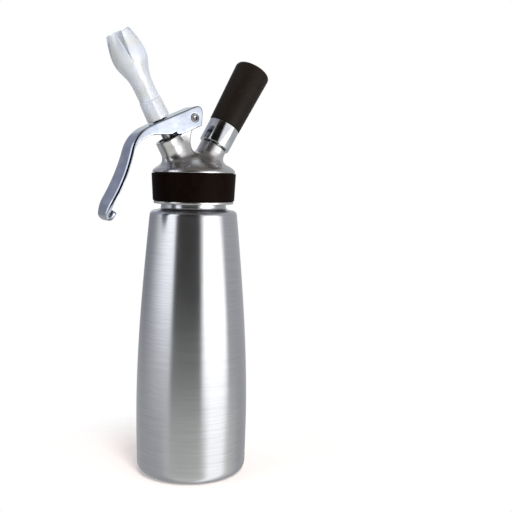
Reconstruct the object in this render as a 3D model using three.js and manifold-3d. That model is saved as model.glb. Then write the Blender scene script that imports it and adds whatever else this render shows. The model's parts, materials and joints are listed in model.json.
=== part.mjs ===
// Whipped cream dispenser for gas chargers: a one litre stainless bottle, a cast screw-on head with
// a silicone grip band, a hand lever over a hollow valve stem, a tulip nozzle, and a charger holder
// with its bulb, piercing pin and non-return valve.
//
// Millimetres, +Z up. The origin is the centre of the bottle's base on the surface it stands on.
// The lever, the nozzle and the holder lie in the XZ plane: the lever and nozzle towards -X, the
// charger holder towards +X.

import * as THREE from 'three';
import { mergeVertices } from 'three/addons/utils/BufferGeometryUtils.js';
import Module from 'manifold-3d';

const wasm = await Module();
wasm.setup();

// Shared clearances and facet counts

const seatGap = 0.3; // between pieces that rest on each other
const runningGap = 0.3; // between a moving piece and its bore
const cutOverrun = 2; // how far a cutting tool passes its face
const weldDistance = 0.0001; // points closer than this are one point

const largeSides = 44;
const mediumSides = 30;
const smallSides = 20;
const tinySides = 12;

// Bottle: a spun stainless shell, widest low down, drawn in to a short threaded neck

const bottle = {
  wall: 1.1,
  padRadius: 15, // flat middle of the base, level with the foot ring
  footRadius: 36.2,
  footWidth: 2.5,
  footRise: 1.6, // height of the bead pressed up between the middle and the foot ring
  heelRadius: 8, // corner between base and side
  baseRadius: 46.4,
  bellyRadius: 47,
  bellyHeight: 52,
  shoulderRadius: 36.6,
  shoulderHeight: 218.6,
  shoulderCorner: 4,
  shoulderRise: 0.6, // the shoulder slopes up a little towards the neck
  neckRadius: 27.2,
  neckFillet: 2.6,
  neckLength: 26.4, // from the shoulder's flat to the mouth
  lipRadius: 28.6,
  lipHeight: 2.2,
};
const sideLeadShare = 0.33; // how long the side keeps its direction at each end
const shoulderLean = Math.tan(THREE.MathUtils.degToRad(5.6)); // taper just under the shoulder

const shoulderTop = bottle.shoulderHeight + bottle.shoulderCorner;
const mouthHeight = shoulderTop + bottle.neckLength;

// Gasket between mouth and head

const gasket = { thickness: 2.4, overhang: 1.7, outerRadius: 29 };

// Head: casting with threaded skirt, flange, band seat, dome, valve boss, lever post and charger port

const head = {
  threadClearance: 0.7, // room outside the bottle's lip for the thread
  skirtDepth: 23.9,
  skirtWall: 3.2,
  flangeRadius: 33.4,
  flangeHeight: 2.2,
  domeRadius: 34.4,
  domeLedge: 1.8, // from the gasket's seat up to the dome's edge
  domeEdge: 1,
  domeRise: 14.5,
  domeEdgeRiseShare: 0.22, // how long the dome's curve keeps upright at its edge, as a share of its rise
  domeShoulderShare: 0.62, // where the curve is pulled out, as a share of the dome's radius
  domeShoulderRiseShare: 0.76,
  crownWall: 5.4,
  hollowRadius: 24,
  hollowStep: 2,
  hollowCrownShare: 0.42,
};
const ceiling = mouthHeight + seatGap + gasket.thickness + seatGap;
const skirtRadius = bottle.lipRadius + head.threadClearance;
const bandSeatRadius = skirtRadius + head.skirtWall;
const skirtBottom = ceiling - head.skirtDepth;
const flangeTop = skirtBottom + head.flangeHeight;
const domeBase = ceiling + head.domeLedge;
const domeTop = domeBase + head.domeRise;

const band = { topRadius: 35.2, bottomRadius: 34.1, edge: 0.7 };

// Valve boss, in its own frame: Z runs out along the stem, zero at the boss's top face

const valve = {
  offset: -24.2, // of the boss's top centre, along X
  rise: 29.6, // of the same point above the gasket's seat
  tilt: THREE.MathUtils.degToRad(-28.5),
  bossRadius: 10.8,
  bossChamfer: 0.6,
  bossLength: 30,
  travel: 2.8,
  bushRadius: 7.8,
  bushLength: 6.8,
  bushRecess: 0.9,
  chamberRadius: 5.95,
  floorDepth: 26,
  floorHoleRadius: 4.2,
  seatDepth: 28,
  seatMouthRadius: 6.6,
};

const stem = {
  radius: 4,
  boreRadius: 2,
  boreDepth: 22,
  pistonRadius: 5.6,
  pistonTop: 9.5, // depths below the boss's top face
  pistonBottom: 16,
  grooveTop: 11.4,
  grooveBottom: 14,
  grooveRadius: 3.7,
  shankRadius: 2.9,
  tailRadius: 2.2,
  tailDepth: 34.6,
  flangeRadius: 7.5,
  flangeThickness: 1.4,
  collarRadius: 5.2,
  collarThickness: 0.7,
  tipRadius: 3.6,
  tipLength: 12.4,
  portRadius: 1.2,
  portDepth: 19.6,
};
const stemRing = { radius: 4.75, thickness: 1.6 };
const bushSeal = { innerRadius: 6.2, thickness: 0.9 };
const valveSpring = { radius: 4.6, wire: 0.9, turns: 5 };
const seal = { topRadius: 3.9, rimRadius: 6.2, rim: 1, offset: 0.35 };
const nut = { acrossFlats: 8, height: 2.6 };

// Lever: an inverted channel over the post and stem, bent down into a flared handle with a hook

const lever = {
  pivotOffset: -4.6, // of the pin, along X
  pivotRise: 46.7, // of the pin above the gasket's seat
  halfWidth: 10,
  wall: 1.6,
  web: 1.8,
  edge: 1.2, // rounding of the outer edges
  rise: 8.2, // of the channel's top above the pin
  slope: THREE.MathUtils.degToRad(23.5),
  earReach: 7.4, // of the ear behind the pin
  earRise: 3.5, // where the ear's rounding starts, above the pin
  earCrown: 1, // where it ends, in front of the pin
  earSteps: 4,
  heelDrop: 6.2, // of the ear's lower corner below the pin
  heelInset: 0.7,
  heelRun: 18,
  armLength: 43.2,
  elbowDepth: 7.5,
  elbowRadius: 29.5,
  elbowTurn: THREE.MathUtils.degToRad(52),
  handleLength: 40,
  handleTurn: THREE.MathUtils.degToRad(-16),
  handleHalfWidth: 13,
  handleDepth: 3.2,
  sweepRadius: 42,
  sweepTurn: THREE.MathUtils.degToRad(19),
  curlRadius: 5,
  curlTurn: THREE.MathUtils.degToRad(158),
  tipLength: 4.5,
  tipHalfWidth: 4.5,
  tipDepth: 4.2,
  slotHalfWidth: 5.5,
};
const pin = { shaftRadius: 2.6, headRadius: 3.3, dish: 0.9, dishRadius: 2.6, split: 3 };
const post = {
  halfThickness: 7.5,
  edge: 1,
  eyeRadius: 4.7,
  waistInset: 2.3, // of the hollowed back edge at its narrowest, in front of the pin
  waistDrop: 20,
  footReach: 5,
  footDrop: 32.3,
  footBite: 2.5, // how far the foot runs on into the dome's wall
};

// Nozzle: translucent tulip tip on a threaded metal insert

const nozzle = {
  collarRadius: 9.5,
  collarTopRadius: 8.85,
  collarLength: 16.2,
  collarEdge: 0.8,
  step: 0.35,
  waistRadius: 8.3,
  waistHeight: 28,
  bellyRadius: 13.8,
  bellyHeight: 54,
  bellyLeadShare: 0.385, // how early the swell reaches its full width, as a share of its rise
  mouthRadius: 9.8,
  length: 74.2,
  wall: 1.4,
  throatRadius: 5,
  petals: 5,
  slitWidth: 4.2,
  slitLength: 19.5,
  slitTurn: THREE.MathUtils.degToRad(-93),
};
const insert = { radius: 6.2, length: 11.4 };
const washer = { thickness: 1.1, innerRadius: 4 };

// Charger port and holder, in their own frame: Z runs out along the holder, zero at its lower rim

const port = {
  offset: 18.7,
  rise: 24.9,
  tilt: THREE.MathUtils.degToRad(30),
  radius: 11.4,
  lipGap: 1.2,
  lipChamfer: 0.7,
  spigotRadius: 9.7,
  spigotLength: 10.6,
  boreRadius: 4.6,
  boreDepth: 8.3,
  chamberRadius: 3.4,
  chamberDepth: 16.5,
  floorDepth: 19.5,
  floorHoleRadius: 1.5,
  innerBossRadius: 6.6,
};
const holder = {
  rimRadius: 13.2,
  ringRadius: 13.4,
  ringLength: 19.4,
  edge: 0.7,
  threadRadius: 10.1,
  threadDepth: 11.5,
  coreRadius: 11.6,
  boreRadius: 9.5,
  endWall: 1.5,
};
const grip = { startRadius: 13.6, endRadius: 15.3, endCorner: 4.6, endWall: 2.3, crown: 0.6 };
const bulb = {
  radius: 9,
  length: 65,
  wall: 1.3,
  tip: 5.9, // height of the neck's end above the holder's rim
  neckRadius: 3.8,
  neckLength: 6.4,
  shoulderLength: 8.6,
  mouthRadius: 1.6,
  endRoom: 1.1, // between the bulb's round end and the end of the holder's bore
};
const holderBoreDepth = bulb.tip + bulb.length + bulb.endRoom;
const chargerSeal = { thickness: 1.6, innerRadius: 1.5, outerRadius: 4.3 };
const carrier = { radius: 4.3, length: 10.9, holeRadius: 1.2, gasHoleRadius: 0.7, gasHoleOffset: 2.6 };
const needle = { radius: 0.9, length: 14.4, pointLength: 3.9 };
const carrierGasket = { innerRadius: 3.6, thickness: 0.5 };
const poppet = { radius: 2.9, height: 1.5, guideRadius: 1, guideLength: 4, travel: 1 };
const checkSpring = { radius: 2.2, wire: 0.5, turns: 5 };

// Geometry helpers

/** Joins equal points and drops the triangles that this collapses, so that the mesh is closed. */
function weld(geometry) {
  const bare = geometry.clone();
  for (const name of Object.keys(bare.attributes)) if (name !== 'position') bare.deleteAttribute(name);
  const merged = mergeVertices(bare, weldDistance);
  const kept = [];
  const corners = merged.index.array;
  for (let i = 0; i < corners.length; i += 3) {
    const [a, b, c] = [corners[i], corners[i + 1], corners[i + 2]];
    if (a !== b && b !== c && c !== a) kept.push(a, b, c);
  }
  merged.setIndex(kept);
  return merged;
}

/** Signed volume: negative when the faces point in. */
function volumeOf(geometry) {
  const place = geometry.attributes.position;
  const corners = geometry.index.array;
  const [a, b, c] = [new THREE.Vector3(), new THREE.Vector3(), new THREE.Vector3()];
  let sum = 0;
  for (let i = 0; i < corners.length; i += 3) {
    a.fromBufferAttribute(place, corners[i]);
    b.fromBufferAttribute(place, corners[i + 1]);
    c.fromBufferAttribute(place, corners[i + 2]);
    sum += a.dot(b.cross(c));
  }
  return sum;
}

/** A closed mesh whose faces point out, whichever way round its outline was drawn. */
function closed(geometry) {
  const mesh = weld(geometry);
  if (volumeOf(mesh) < 0) {
    const corners = Array.from(mesh.index.array);
    for (let i = 0; i < corners.length; i += 3) [corners[i], corners[i + 1]] = [corners[i + 1], corners[i]];
    mesh.setIndex(corners);
  }
  return mesh;
}

/** The solid that a closed mesh bounds, ready to be joined and cut. */
function solid(geometry, frame) {
  const mesh = closed(geometry);
  if (frame) mesh.applyMatrix4(frame);
  return new wasm.Manifold(
    new wasm.Mesh({
      numProp: 3,
      vertProperties: new Float32Array(mesh.attributes.position.array),
      triVerts: new Uint32Array(mesh.index.array),
    }),
  );
}

/** The mesh of a joined and cut solid. */
function meshOf(body) {
  const { vertProperties, triVerts, numProp } = body.getMesh();
  const points = new Float32Array((vertProperties.length / numProp) * 3);
  for (let i = 0; i < points.length / 3; i += 1) {
    for (let k = 0; k < 3; k += 1) points[i * 3 + k] = vertProperties[i * numProp + k];
  }
  const geometry = new THREE.BufferGeometry();
  geometry.setAttribute('position', new THREE.BufferAttribute(points, 3));
  geometry.setIndex(Array.from(triVerts));
  return geometry;
}

/** Turns an outline of [radius, height] pairs or Vector2 points about the Z axis. */
function revolve(outline, sides) {
  const points = outline.map((p) => (p.isVector2 ? p : new THREE.Vector2(p[0], p[1])));
  const onAxis = points[0].x === 0 && points[points.length - 1].x === 0;
  const loop = onAxis ? points : [...points, points[0]];
  return new THREE.LatheGeometry(loop, sides).rotateX(Math.PI / 2);
}

/** A plain ring or tube between two heights. */
function tube(inner, outer, low, high, sides) {
  return revolve([[inner, low], [outer, low], [outer, high], [inner, high]], sides);
}

/** A plain round bar between two heights. */
function bar(radius, low, high, sides) {
  return revolve([[0, low], [radius, low], [radius, high], [0, high]], sides);
}

/** Extrudes an outline drawn in X and Z along Y, from -half to +half, with rounded edges. */
function slab(shape, half, edge, curveSteps) {
  const rounding = edge > 0
    ? { bevelEnabled: true, bevelThickness: edge, bevelSize: edge, bevelOffset: -edge, bevelSegments: 2 }
    : { bevelEnabled: false };
  const depth = 2 * (half - edge);
  const geometry = new THREE.ExtrudeGeometry(shape, { depth, steps: 1, curveSegments: curveSteps, ...rounding });
  return geometry.translate(0, 0, -depth / 2).rotateX(Math.PI / 2);
}

/** Joins equal closed rings of points into one closed skin, with its two ends capped. */
function loft(rings) {
  const count = rings[0].length;
  const points = rings.flat();
  const corners = [];
  for (let i = 0; i + 1 < rings.length; i += 1) {
    for (let k = 0; k < count; k += 1) {
      const next = (k + 1) % count;
      const [a, b, c, d] = [i * count + k, i * count + next, (i + 1) * count + next, (i + 1) * count + k];
      corners.push(a, b, c, a, c, d);
    }
  }
  const last = (rings.length - 1) * count;
  for (let k = 1; k + 1 < count; k += 1) corners.push(0, k + 1, k, last, last + k, last + k + 1);
  const geometry = new THREE.BufferGeometry();
  geometry.setAttribute('position', new THREE.Float32BufferAttribute(points.flatMap((p) => p.toArray()), 3));
  geometry.setIndex(corners);
  return geometry;
}

/** A coil spring as one unbroken tube from height zero up to its length. */
function coil({ radius, wire, turns }, length, name) {
  const stepsPerTurn = 8;
  const wireSides = 5;
  const rise = (length - wire) / turns;
  const slope = Math.atan2(rise, 2 * Math.PI * radius);
  const rings = [];
  for (let i = 0; i <= turns * stepsPerTurn; i += 1) {
    const angle = (i / stepsPerTurn) * 2 * Math.PI;
    const out = new THREE.Vector3(Math.cos(angle), Math.sin(angle), 0);
    const along = new THREE.Vector3(-Math.sin(angle) * Math.cos(slope), Math.cos(angle) * Math.cos(slope), Math.sin(slope));
    const up = new THREE.Vector3().crossVectors(out, along);
    const centre = out.clone().multiplyScalar(radius).setZ(wire / 2 + (rise * i) / stepsPerTurn);
    const ring = [];
    for (let k = 0; k < wireSides; k += 1) {
      const turn = (k / wireSides) * 2 * Math.PI;
      ring.push(centre.clone().addScaledVector(out, (wire / 2) * Math.cos(turn)).addScaledVector(up, (wire / 2) * Math.sin(turn)));
    }
    rings.push(ring);
  }
  let leastGap = Infinity;
  for (let i = 0; i + stepsPerTurn < rings.length; i += 1) {
    for (const p of rings[i]) for (const q of rings[i + stepsPerTurn]) leastGap = Math.min(leastGap, p.distanceTo(q));
  }
  console.log(`${name}: least gap to itself ${leastGap.toFixed(2)} mm`);
  return loft(rings);
}

/** A frame tilted in the XZ plane, with its zero at the given place. */
function tiltedFrame(x, z, tilt) {
  return new THREE.Matrix4().makeTranslation(x, 0, z).multiply(new THREE.Matrix4().makeRotationY(tilt));
}

const valveFrame = tiltedFrame(valve.offset, ceiling + valve.rise, valve.tilt);
const portFrame = tiltedFrame(port.offset, ceiling + port.rise, port.tilt);
const pivot = new THREE.Vector3(lever.pivotOffset, 0, ceiling + lever.pivotRise);
const intoValve = valveFrame.clone().invert();

// Where the lever's channel crosses the stem, in the valve's frame

const pivotInValve = pivot.clone().applyMatrix4(intoValve);
const pivotArm = pivotInValve.x; // distance between the pin and the stem's axis
const leverTurn = valve.travel / pivotArm; // how far the lever turns to open the valve
const webLean = Math.tan(-valve.tilt - lever.slope); // the web's rise towards the nozzle's side
const webTopAtStem = pivotInValve.z + lever.rise / Math.cos(-valve.tilt - lever.slope) + pivotArm * webLean;
const webUnderAtStem = webTopAtStem - lever.web / Math.cos(-valve.tilt - lever.slope);
const stemFlangeTop = webUnderAtStem - stem.flangeRadius * webLean - seatGap;
const nozzleSeat = webTopAtStem + nozzle.collarRadius * webLean + seatGap + seatGap;
const stemCollarTop = nozzleSeat;
const stemCollarBottom = stemCollarTop - stem.collarThickness;

// Pieces

/** The bottle's outer line from the middle of the base to the mouth, moved in by the given wall. */
function bottleLine(inset, sideSteps, cornerSteps) {
  const b = bottle;
  const line = new THREE.Path();
  const floor = inset > 0 ? b.footRise + inset : 0;
  const heel = b.heelRadius - inset;
  const side = b.baseRadius - inset;
  line.moveTo(0, inset);
  line.lineTo(b.padRadius, inset);
  line.lineTo(b.padRadius + b.footWidth, b.footRise + inset);
  if (inset === 0) {
    line.lineTo(b.footRadius - b.footWidth, b.footRise);
    line.lineTo(b.footRadius, 0);
  }
  line.lineTo(side - heel, floor);
  line.absarc(side - heel, floor + heel, heel, -Math.PI / 2, 0, false);
  const lead = sideLeadShare * (b.shoulderHeight - b.bellyHeight);
  const sideLine = new THREE.CubicBezierCurve(
    new THREE.Vector2(b.bellyRadius - inset, b.bellyHeight),
    new THREE.Vector2(b.bellyRadius - inset, b.bellyHeight + lead),
    new THREE.Vector2(b.shoulderRadius + lead * shoulderLean - inset, b.shoulderHeight - lead),
    new THREE.Vector2(b.shoulderRadius - inset, b.shoulderHeight),
  );
  const corner = b.shoulderCorner - inset;
  const shoulder = new THREE.Path();
  shoulder.moveTo(b.shoulderRadius - inset, b.shoulderHeight);
  shoulder.absarc(b.shoulderRadius - inset - corner, b.shoulderHeight, corner, 0, Math.PI / 2, false);
  const fillet = b.neckFillet + inset;
  const filletTop = shoulderTop + b.shoulderRise + b.neckFillet;
  shoulder.absarc(b.neckRadius - inset + fillet, filletTop, fillet, -Math.PI / 2, Math.PI, true);
  const neck = [new THREE.Vector2(b.neckRadius - inset, mouthHeight - b.lipHeight)];
  if (inset === 0) neck.push(new THREE.Vector2(b.lipRadius, mouthHeight - b.lipHeight), new THREE.Vector2(b.lipRadius, mouthHeight));
  else neck.push(new THREE.Vector2(b.neckRadius - inset, mouthHeight));
  return [...line.getPoints(cornerSteps), ...sideLine.getPoints(sideSteps), ...shoulder.getPoints(cornerSteps).slice(1), ...neck];
}

function makeBottle() {
  const outside = bottleLine(0, 6, 2);
  const inside = bottleLine(bottle.wall, 4, 1);
  return revolve([...outside, ...inside.reverse()], largeSides);
}

function makeGasket() {
  const low = mouthHeight + seatGap;
  const inner = bottle.neckRadius - bottle.wall - gasket.overhang;
  return tube(inner, gasket.outerRadius, low, low + gasket.thickness, largeSides);
}

/** The dome's outer line, from its edge over the band up to the crown. */
function domeLine(steps) {
  const edge = domeBase + head.domeEdge;
  const curve = new THREE.CubicBezierCurve(
    new THREE.Vector2(head.domeRadius, edge),
    new THREE.Vector2(head.domeRadius, edge + head.domeRise * head.domeEdgeRiseShare),
    new THREE.Vector2(head.domeRadius * head.domeShoulderShare, domeBase + head.domeRise * head.domeShoulderRiseShare),
    new THREE.Vector2(0, domeTop),
  );
  return [new THREE.Vector2(head.domeRadius, domeBase), ...curve.getPoints(steps)];
}

/** The lever post: an eye round the pin on a web that grows out of the valve boss and the dome. */
function postShape() {
  const shape = new THREE.Shape();
  const x = pivot.x;
  const z = pivot.z;
  const foot = z - post.footDrop - post.footBite;
  shape.moveTo(x + post.footReach, foot);
  shape.lineTo(x + post.footReach, z - post.footDrop);
  shape.quadraticCurveTo(x - post.waistInset, z - post.footDrop + post.footReach, x - post.waistInset, z - post.waistDrop);
  shape.quadraticCurveTo(x - post.waistInset, z - post.waistDrop / 2, x + post.eyeRadius, z);
  shape.absarc(x, z, post.eyeRadius, 0, Math.PI, false);
  const bossEdge = new THREE.Vector3(valve.bossRadius / 2, 0, -post.eyeRadius).applyMatrix4(valveFrame);
  shape.lineTo(bossEdge.x, bossEdge.z);
  shape.lineTo(valve.offset + valve.bossRadius, foot);
  shape.closePath();
  return shape;
}

function makeHead() {
  const h = head;
  const crown = domeTop - h.crownWall;
  const shell = solid(revolve([
    [skirtRadius, skirtBottom], [h.flangeRadius, skirtBottom], [h.flangeRadius, flangeTop], [bandSeatRadius, flangeTop],
    [bandSeatRadius, domeBase], ...domeLine(5).slice(0, -1).map((p) => [p.x, p.y]), [0, domeTop], [0, crown],
    [h.hollowRadius * h.hollowCrownShare, crown], [h.hollowRadius, ceiling + h.hollowStep], [h.hollowRadius, ceiling],
    [skirtRadius, ceiling],
  ], largeSides));
  const boss = solid(revolve([
    [0, -valve.bossLength], [valve.bossRadius, -valve.bossLength], [valve.bossRadius, -valve.bossChamfer],
    [valve.bossRadius - valve.bossChamfer, 0], [0, 0],
  ], mediumSides), valveFrame);
  const portTop = -port.lipGap;
  const neck = solid(revolve([
    [0, -port.floorDepth], [port.innerBossRadius, -port.floorDepth], [port.radius, -port.chamberDepth],
    [port.radius, portTop - port.lipChamfer], [port.radius - port.lipChamfer, portTop], [port.spigotRadius, portTop],
    [port.spigotRadius, port.spigotLength], [0, port.spigotLength],
  ], mediumSides), portFrame);
  const web = solid(slab(postShape(), post.halfThickness, post.edge, 5));
  let body = shell.add(boss).add(neck).add(web);
  const bushBottom = -valve.bushRecess - valve.bushLength - bushSeal.thickness - 2 * seatGap;
  body = body.subtract(solid(revolve([
    [0, -valve.bossLength - cutOverrun], [valve.seatMouthRadius, -valve.bossLength - cutOverrun],
    [valve.seatMouthRadius, -valve.bossLength], [valve.floorHoleRadius, -valve.seatDepth],
    [valve.floorHoleRadius, -valve.floorDepth], [valve.chamberRadius, -valve.floorDepth],
    [valve.chamberRadius, bushBottom], [valve.bushRadius + seatGap, bushBottom],
    [valve.bushRadius + seatGap, cutOverrun], [0, cutOverrun],
  ], smallSides), valveFrame));
  body = body.subtract(solid(revolve([
    [0, -port.floorDepth - cutOverrun], [port.floorHoleRadius, -port.floorDepth - cutOverrun],
    [port.floorHoleRadius, -port.chamberDepth], [port.chamberRadius, -port.chamberDepth],
    [port.chamberRadius, -port.boreDepth], [port.boreRadius, -port.boreDepth],
    [port.boreRadius, port.spigotLength + cutOverrun], [0, port.spigotLength + cutOverrun],
  ], smallSides), portFrame));
  const eye = bar(pin.shaftRadius + runningGap, -post.halfThickness - cutOverrun, post.halfThickness + cutOverrun, smallSides);
  body = body.subtract(solid(eye.rotateX(Math.PI / 2).translate(pivot.x, 0, pivot.z)));
  return meshOf(body);
}

function makeBand() {
  const low = flangeTop + seatGap;
  const high = domeBase - seatGap;
  const inner = bandSeatRadius + seatGap;
  return revolve([
    [inner, low], [band.bottomRadius - band.edge, low], [band.bottomRadius, low + band.edge],
    [band.topRadius, high - band.edge], [band.topRadius - band.edge, high], [inner, high],
  ], largeSides);
}

/** A station of the lever: the middle of its outer face, and the lower edge of its side walls. */
function leverStation(top, bottom, halfWidth) {
  return { top, bottom, halfWidth };
}

/** Stations from the ear behind the pin to the end of the straight channel. */
function armStations() {
  const l = lever;
  const along = new THREE.Vector2(-Math.cos(l.slope), -Math.sin(l.slope));
  const inward = new THREE.Vector2(-along.y, along.x);
  const rise = (x) => (l.rise + (x - pivot.x) * Math.sin(l.slope)) / Math.cos(l.slope);
  const onTop = (x) => new THREE.Vector2(x, pivot.z + rise(x));
  const back = pivot.x + l.earReach;
  const crown = onTop(pivot.x - l.earCrown);
  const ear = new THREE.QuadraticBezierCurve(new THREE.Vector2(back, pivot.z + l.earRise), onTop(back), crown);
  const heel = new THREE.Vector2(back - l.heelInset, pivot.z - l.heelDrop);
  const underCrown = crown.clone().sub(heel).dot(along);
  const stations = ear.getPoints(l.earSteps).map((top, i) => {
    const bottom = heel.clone().addScaledVector(along, (underCrown * i) / l.earSteps);
    return leverStation(top, bottom, l.halfWidth);
  });
  const knee = heel.clone().addScaledVector(along, l.heelRun);
  const kneeDepth = crown.clone().sub(knee).dot(inward);
  stations.push(leverStation(knee.clone().addScaledVector(inward, kneeDepth), knee, l.halfWidth));
  const end = onTop(pivot.x - l.armLength * Math.cos(l.slope));
  stations.push(leverStation(end, end.clone().addScaledVector(inward, l.elbowDepth), l.halfWidth));
  return stations;
}

/** Stations round the elbow and down the flared handle to the tip of its hook. */
function handleStations(start) {
  const l = lever;
  const elbowRun = l.elbowRadius * l.elbowTurn;
  const flareEnd = elbowRun + l.handleLength;
  const stretches = [
    { radius: l.elbowRadius, turn: l.elbowTurn, steps: 6 },
    { radius: l.handleLength / l.handleTurn, turn: l.handleTurn, steps: 4 },
    { radius: l.sweepRadius, turn: l.sweepTurn, steps: 3 },
    { radius: l.curlRadius, turn: l.curlTurn, steps: 7 },
  ];
  const total = flareEnd + l.sweepRadius * l.sweepTurn + l.curlRadius * l.curlTurn + l.tipLength;
  const ease = (t) => THREE.MathUtils.smoothstep(t, 0, 1);
  const { lerp } = THREE.MathUtils;
  const top = start.clone();
  const stations = [];
  let heading = l.slope;
  let run = 0;
  const step = (length, turn) => {
    top.x -= length * Math.cos(heading + turn / 2);
    top.y -= length * Math.sin(heading + turn / 2);
    heading += turn;
    const flared = lerp(l.halfWidth, l.handleHalfWidth, ease(run / flareEnd));
    const halfWidth = lerp(flared, l.tipHalfWidth, ease((run - flareEnd) / (total - flareEnd)));
    const side = lerp(l.elbowDepth, l.handleDepth, ease(run / elbowRun));
    const depth = lerp(side, l.tipDepth, ease((run - flareEnd) / (total - flareEnd)));
    const bottom = new THREE.Vector2(top.x + depth * Math.sin(heading), top.y - depth * Math.cos(heading));
    stations.push(leverStation(top.clone(), bottom, halfWidth));
  };
  for (const { radius, turn, steps } of stretches) {
    const bend = turn / steps;
    for (let i = 0; i < steps; i += 1) {
      run += radius * bend;
      step(2 * radius * Math.sin(bend / 2), bend);
    }
  }
  run += l.tipLength;
  step(l.tipLength, 0);
  return stations;
}

/** One ring of the lever's outer skin: a flat outer face with rounded edges over two straight sides. */
function outerRing({ top, bottom, halfWidth }) {
  const depth = top.distanceTo(bottom);
  const r = lever.edge;
  const cut = r * (1 - Math.SQRT1_2);
  return leverRing(top, bottom, [[halfWidth, depth], [halfWidth, r], [halfWidth - cut, cut], [halfWidth - r, 0]]);
}

/** One ring of the hollow under the outer face, running out past the side walls' lower edges. */
function hollowRing({ top, bottom, halfWidth }) {
  const depth = top.distanceTo(bottom) + cutOverrun;
  return leverRing(top, bottom, [[halfWidth - lever.wall, depth], [halfWidth - lever.wall, lever.web]]);
}

/** Sets a half outline of [offset from the middle, depth under the outer face] on a station. */
function leverRing(top, bottom, outline) {
  const down = bottom.clone().sub(top).normalize();
  const mirrored = outline.map(([y, depth]) => [-y, depth]).reverse();
  return [...outline, ...mirrored].map(([y, depth]) => new THREE.Vector3(top.x + down.x * depth, y, top.y + down.y * depth));
}

function makeLever() {
  const l = lever;
  const arm = armStations();
  const handle = handleStations(arm[arm.length - 1].top);
  let body = solid(loft([...arm, ...handle].map(outerRing)));
  const hookSteps = 8; // the curl and the tip stay solid
  const hollow = [...arm, ...handle.slice(0, -hookSteps)].map(hollowRing);
  const beyond = hollow[0].map((p) => p.clone().add(new THREE.Vector3(cutOverrun, 0, 0)));
  body = body.subtract(solid(loft([beyond, ...hollow])));
  const pinHole = bar(pin.headRadius + runningGap, -l.halfWidth - cutOverrun, l.halfWidth + cutOverrun, smallSides);
  body = body.subtract(solid(pinHole.rotateX(Math.PI / 2).translate(pivot.x, 0, pivot.z)));
  const slide = 2 * (webTopAtStem - pivotInValve.z) * Math.sin(leverTurn / 2) + runningGap; // the web slips past the stem
  const slot = new THREE.Shape();
  slot.absarc(0, 0, l.slotHalfWidth, Math.PI / 2, (3 * Math.PI) / 2, false);
  slot.absarc(slide, 0, l.slotHalfWidth, -Math.PI / 2, Math.PI / 2, false);
  slot.closePath();
  const slotTool = new THREE.ExtrudeGeometry(slot, { depth: l.rise, bevelEnabled: false, curveSegments: 8 });
  body = body.subtract(solid(slotTool.translate(0, 0, webUnderAtStem - l.rise / 2), valveFrame));
  const relief = bar(valve.bossRadius + runningGap, -valve.bossRadius, valve.travel + seatGap, mediumSides);
  body = body.subtract(solid(relief, valveFrame));
  return meshOf(body);
}

/** Half of the two-part pivot pin: a dished head in the lever's wall and a shaft in the post's eye. */
function makePinHalf(shaftEnd) {
  const outer = lever.halfWidth;
  const inner = lever.halfWidth - lever.wall;
  const half = revolve([
    [0, outer - pin.dish], [pin.dishRadius / 2, outer - pin.dish], [pin.dishRadius, outer], [pin.headRadius, outer],
    [pin.headRadius, inner], [pin.shaftRadius, inner], [pin.shaftRadius, shaftEnd], [0, shaftEnd],
  ], smallSides);
  return half;
}

function makeBush() {
  const high = -valve.bushRecess;
  return revolve([
    [stem.radius + runningGap, high - valve.bushLength], [valve.bushRadius, high - valve.bushLength],
    [valve.bushRadius, high - valve.bossChamfer], [valve.bushRadius - valve.bossChamfer, high],
    [stem.radius + 2 * runningGap, high], [stem.radius + runningGap, high - runningGap],
  ], smallSides);
}

function makeBushSeal() {
  const high = -valve.bushRecess - valve.bushLength - seatGap;
  return tube(bushSeal.innerRadius, valve.bushRadius, high - bushSeal.thickness, high, smallSides);
}

function makeStem() {
  const s = stem;
  const tip = stemCollarTop + s.tipLength;
  let body = solid(revolve([
    [0, -s.tailDepth], [s.tailRadius, -s.tailDepth], [s.tailRadius, -valve.seatDepth], [s.shankRadius, -valve.seatDepth],
    [s.shankRadius, -s.pistonBottom], [s.pistonRadius, -s.pistonBottom], [s.pistonRadius, -s.grooveBottom],
    [s.grooveRadius, -s.grooveBottom], [s.grooveRadius, -s.grooveTop], [s.pistonRadius, -s.grooveTop],
    [s.pistonRadius, -s.pistonTop], [s.radius, -s.pistonTop], [s.radius, stemFlangeTop - s.flangeThickness],
    [s.flangeRadius, stemFlangeTop - s.flangeThickness], [s.flangeRadius, stemFlangeTop], [s.radius, stemFlangeTop],
    [s.radius, stemCollarBottom], [s.collarRadius, stemCollarBottom], [s.collarRadius, stemCollarTop],
    [s.tipRadius, stemCollarTop], [s.tipRadius, tip], [0, tip],
  ], smallSides));
  body = body.subtract(solid(bar(s.boreRadius, -s.boreDepth, tip + cutOverrun, tinySides)));
  const cross = bar(s.portRadius, -s.shankRadius - cutOverrun, s.shankRadius + cutOverrun, tinySides);
  body = body.subtract(solid(cross.rotateX(Math.PI / 2).translate(0, 0, -s.portDepth)));
  return meshOf(body);
}

function makeStemRing() {
  const middle = -(stem.grooveTop + stem.grooveBottom) / 2;
  const circle = new THREE.Path();
  circle.absarc(stemRing.radius, middle, stemRing.thickness / 2, 0, 2 * Math.PI, false);
  return revolve(circle.getPoints(3).slice(0, -1), smallSides);
}

function makeSeal() {
  const inner = stem.tailRadius + seatGap;
  const top = -valve.seatDepth - seal.offset;
  const rimTop = -valve.bossLength - seal.offset;
  return revolve([
    [inner, rimTop - seal.rim], [seal.rimRadius, rimTop - seal.rim], [seal.rimRadius, rimTop],
    [seal.topRadius, top], [inner, top],
  ], smallSides);
}

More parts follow.
